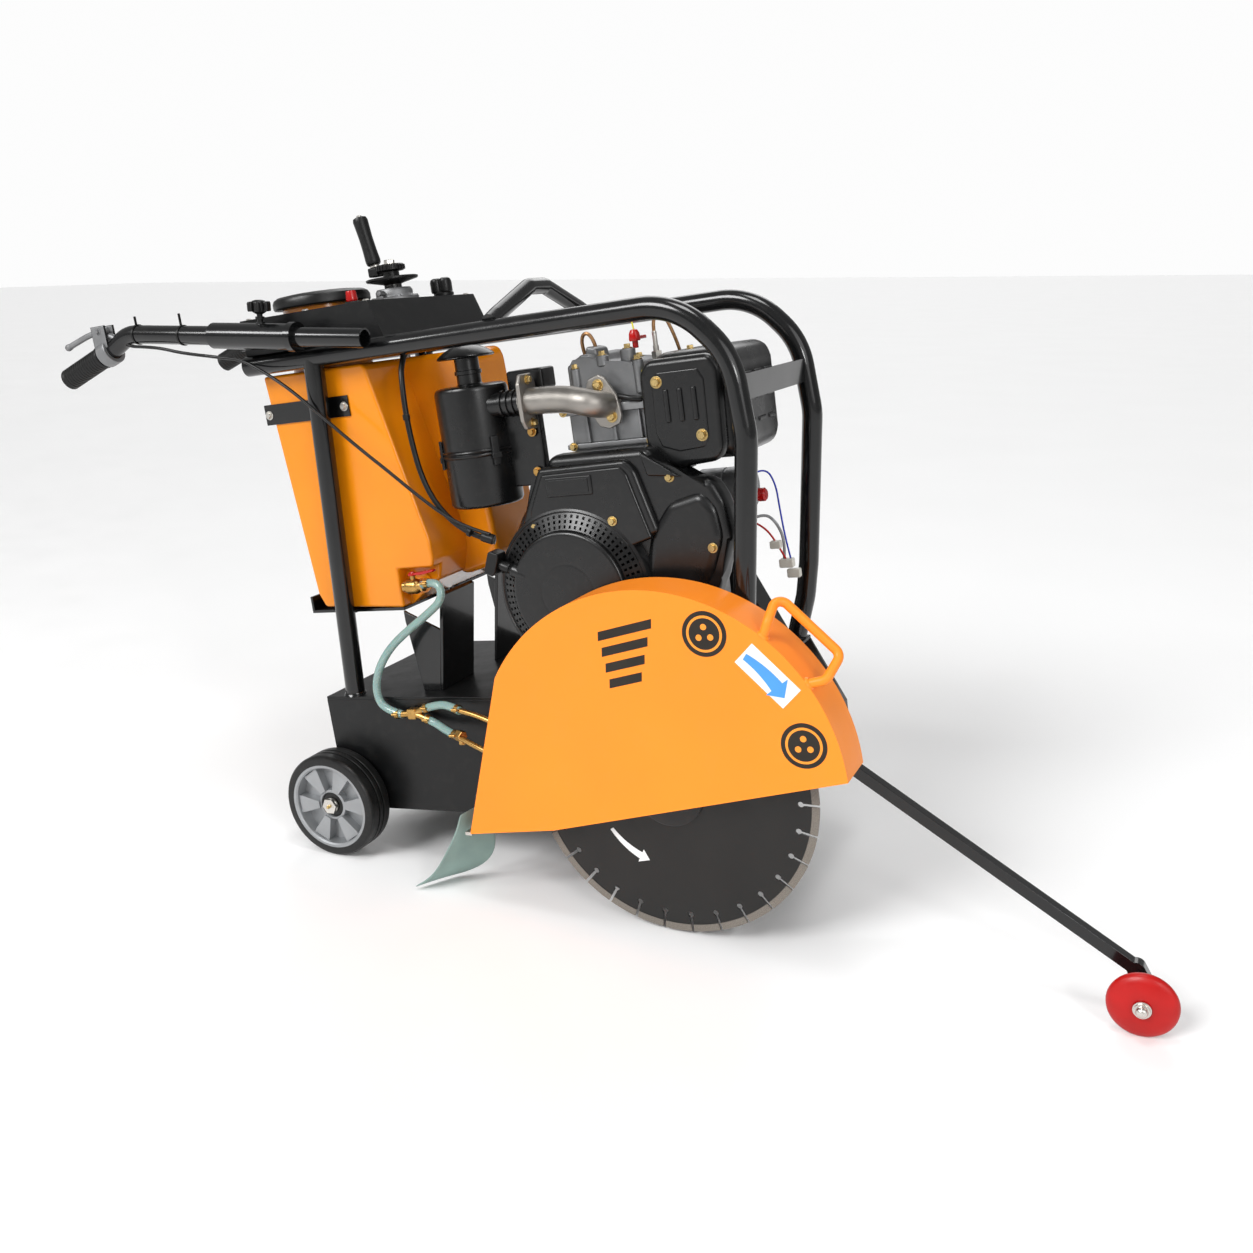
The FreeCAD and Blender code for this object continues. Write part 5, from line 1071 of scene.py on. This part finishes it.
def cylinder_group():
    rounded("engine_crankcase", casting, 3)
    block = Shape()
    block.box((540, 690), (-96, 50), (498, 612), 3)
    block.box((532, 694), (-104, 56), (609, 618), 2)
    block.box((540, 690), (-98, 50), (616, 668), 4, 3)
    block.box((530, 690), (-110, 60), (666, 680), 2.5)
    for x in (575, 625, 672):
        block.prism([(x - 3, 618), (x + 3, 618), (x + 2, 668), (x - 2, 668)], (-105, -94), 1.4)
    for number in range(5):
        block.box((520, 696), (-104, 58), (506 + number * 20, 511 + number * 20), 1.4)
    block.prism([(545, 678), (690, 678), (690, 712), (676, 722), (668, 742), (640, 746), (600, 746),
                 (590, 762), (572, 764), (560, 752), (545, 748)], (-92, 48), 5, 3)
    block.prism([(566, 738), (598, 738), (592, 772), (574, 776)], (-70, -20), 5, 3)
    bosses = ((13, 652, -72, 735, 764, 32), (11, 610, -84, 740, 758, 32), (9, 676, -90, 690, 745, 28),
              (9, 560, -90, 690, 742, 28))
    for radius, x, y, low, high, steps in bosses:
        block.rod(radius, (x, y, low), (x, y, high), steps, 2)
    block.piece("barrel_and_head", "frame", casting, ("engine_cylinder",), 40)
    heads = Shape()
    for x, y, z in ((652, -72, 764), (610, -84, 758), (676, -90, 745), (560, -90, 742), (630, 20, 746)):
        heads.bolt((x, y, z), Z, 10, 6)
    for x, z in ((545, 614), (688, 613), (536, 673), (600, 673)):
        heads.bolt((x, -105 if z < 650 else -110, z), NEAR, 9, 5)
    heads.piece("head_bolts", "frame", yellow_zinc)
    valve = Shape()
    valve.lathe([(0, 0), (11, 0), (11, 12), (8, 15), (8, 26), (5, 29), (5, 40), (0, 40)], (684, -28, 722), Z,
                32)
    valve.rod(4, (684, -28, 760), (684, -28, 786), 16, 1)
    valve.bolt((684, -28, 744), Z, 16, 9, False)
    valve.piece("injector_body", "frame", zinc)
    strand("injector_line", [(684, -28, 784), (684, -28, 800), (690, -26, 812), (700, -20, 812),
                             (704, -14, 800), (712, -6, 770), (716, 4, 735), (716, 8, 700)], 3, "frame",
           copper)
    strand("breather_loop", [(560, -40, 748), (556, -46, 775), (562, -52, 795), (574, -54, 798),
                             (582, -52, 785), (584, -46, 762), (590, -40, 745)], 3.2, "frame", copper)
    strand("fuel_hose", [(600, -92, 700), (640, -112, 692), (668, -114, 684), (690, -104, 680),
                         (700, -80, 676)], 5, "frame", cable_jacket)
    lever = Shape()
    lever.rod(5, (662, -60, 762.5), (662, -60, 776), 20, 0.6)
    lever.lathe([(0, 774), (9, 774), (10, 777), (9, 786), (6, 792), (0, 794)], (662, -60, 0), Z, 28)
    lever.prism([(657, 776), (667, 776), (667, 782), (657, 782)], (-60, -22), 1.5)
    lever.piece("decompression_knob", "decompression_lever", red_plastic, ("decompression_lever",), 40)
    strand("tag_wire", [(662, -60, 793), (661, -61, 806), (659, -62, 818), (656, -63, 830)], 1.3,
           "decompression_lever", yellow_wire)
    block = Shape()
    block.box((672, 690), (-96, -76), (690, 728), 3)
    block.piece("fuel_filter", "frame", yellow_wire)


def intake_group():
    strand("intake_pipe", [(478, -132, 700), (520, -138, 699), (566, -147, 697), (604, -157, 689),
                           (622, -142, 681), (622, -104, 680)], 22.5, "frame", pipe_casting,
           ("intake_elbow",), 24)
    flange = Shape()
    flange.prism([(-18, -46), (18, -46), (28, -30), (30, 0), (28, 30), (18, 46), (-18, 46), (-28, 30),
                  (-30, 0), (-28, -30)], (-4, 4), 2.5, 3, turned((484, -132, 700), 90, "Z"))
    flange.prism([(-44, -12), (-34, -22), (0, -34), (34, -27), (44, -12), (44, 8), (34, 17), (0, 24),
                  (-34, 17), (-44, 8)], (-4, 4), 2.5, 3, turned((621, -116.6, 685), 71, "Y"))
    flange.piece("intake_flanges", "frame", pipe_casting, (), 40)
    heads = Shape()
    for z in (664, 736):
        heads.bolt((488, -132, z), X, 10, 6)
    for sign in (-1, 1):
        x, z = polar((622, 685.5), 28 * sign, -71)
        heads.bolt((x, -120.4, z), NEAR, 12, 6)
    heads.piece("intake_bolts", "frame", yellow_zinc)
    can = Shape()
    at = (364, -112, 0)
    can.lathe([(0, 530), (57, 530), (61, 532), (64, 537), (64, 617), (66.5, 619), (67, 621), (64.6, 624),
               (67, 627), (66.5, 629), (64, 631), (64, 729), (61, 735), (54, 738), (24, 738.5), (21, 741),
               (21, 756), (23.5, 757), (23.5, 763), (21, 764), (21, 785), (47, 784), (50, 786), (49, 789),
               (38, 797), (26, 803), (12, 806), (0, 806)], at, Z, 96)
    duct = [(0, 415), (20, 415)]
    for ridge in (437, 449, 461):
        duct += [(20, ridge - 1), (23, ridge), (23, ridge + 4), (20, ridge + 5)]
    can.lathe(duct + [(20, 476), (23, 477), (23, 480), (0, 480)], (0, -132, 700), X, 48)
    for angle in (215, 325):
        turn = turned(at, angle, "Z")
        can.box((64, 70), (-7, 7), (600, 650), 2, 2, turn)
        can.box((68, 72), (-9, 9), (612, 622), 1.5, 2, turn)
    can.box((424, 492), (-118, -98), (556, 716), 4, 3)
    can.box((430, 500), (-100, -50), (716, 752), 5, 3)
    can.piece("air_canister", "frame", engine_paint, ("air_filter",), 40)
    plate = Shape()
    for x, z in ((478, 648), (478, 580), (470, 734)):
        plate.bolt((x, -122 if z < 700 else -100, z), NEAR, 10, 5)
    plate.piece("filter_bolts", "frame", brass)


def muffler_group():
    can = Shape()
    can.box((697, 850), (-112, 92), (572, 750), 30, 6)
    can.box((688.5, 705), (-60, 20), (676, 708), 3)
    can.lathe([(14, 90), (17, 90), (17, 127.5), (14, 127.5)], (800, 0, 640), Y, 40)
    for z in (700, 662, 624):
        for y in (-60, -10, 40):
            can.box((847, 852.5), (y - 17, y + 17), (z - 4, z + 4), 2.4, 3)
    can.piece("silencer_box", "frame", engine_paint, ("muffler",), 40)
    shield = Shape()
    outer = [(706, 742), (690, 722), (688, 610), (700, 580), (740, 566), (810, 572), (826, 590), (830, 720),
             (815, 742)]
    shield.prism(outer, (-130, -104), 17, 6)
    shield.prism([(724, 722), (712, 708), (710, 624), (718, 602), (748, 592), (792, 596), (802, 610),
                  (804, 704), (794, 722)], (-131.8, -118), 4, 4)
    for x in (736, 760, 784):
        shield.box((x - 4.5, x + 4.5), (-135.5, -126), (640, 694), 3.2, 3)
    shield.piece("silencer_shield", "frame", engine_paint, (), 40)
    bolts = Shape()
    for x, z in ((722, 706), (790, 616)):
        bolts.bolt((x, -131, z), NEAR, 12, 6)
    bolts.bolt((758, -60, 749.5), Z, 10, 5)
    bolts.piece("silencer_bolts", "frame", yellow_zinc)


def starter_group():
    body = Shape()
    body.lathe([(0, 700), (36, 700), (38, 703), (38, 748), (36.5, 749), (36.5, 752), (38, 753), (38, 788),
                (34, 795), (12, 800), (0, 800)], (0, 62, 500), X, 64)
    body.lathe([(0, 706), (19, 706), (19, 770), (16, 776), (14, 786), (0, 786)], (0, 62, 444), X, 48)
    body.prism([(700, 425), (712, 425), (712, 500), (700, 500)], (36, 88), 3)
    body.bolt((722, 26, 520), NEAR, 12, 7)
    body.piece("starter_body", "frame", casting, ("starter_motor",), 40)
    wires = (("starter_lead_white", [(786, 66, 444), (808, 70, 452), (826, 78, 430), (834, 84, 396),
                                     (828, 88, 366)], 2.6, sleeve_cloth), ("starter_lead_red",
                                                                           [(786, 60, 440), (806, 60, 430),
                                                                            (820, 70, 404), (830, 82, 372),
                                                                            (836, 92, 350)], 1.8, red_wire),
             ("starter_lead_blue", [(800, 66, 524), (816, 76, 530), (828, 84, 500), (830, 86, 456),
                                    (834, 88, 400), (840, 90, 360)], 1.6, blue_wire),)
    for name, route, radius, look in wires:
        strand(name, route, radius, "frame", look)
    ends = Shape()
    plugs = (((820, 846), (78, 94), (350, 366)), ((830, 854), (86, 100), (330, 346)), ((812, 832), (62, 76),
                                                                                       (388, 402)),)
    for x, y, z in plugs:
        ends.box(x, y, z, 2.5)
    ends.piece("wire_connectors", "frame", white_plastic)
    boot = Shape()
    boot.lathe([(0, 798), (11, 798), (12, 800), (12, 810), (9, 813), (0, 813)], (0, 74, 484), X, 32)
    boot.piece("starter_boot", "frame", red_plastic)


shroud_group()
cylinder_group()
intake_group()
muffler_group()
starter_group()
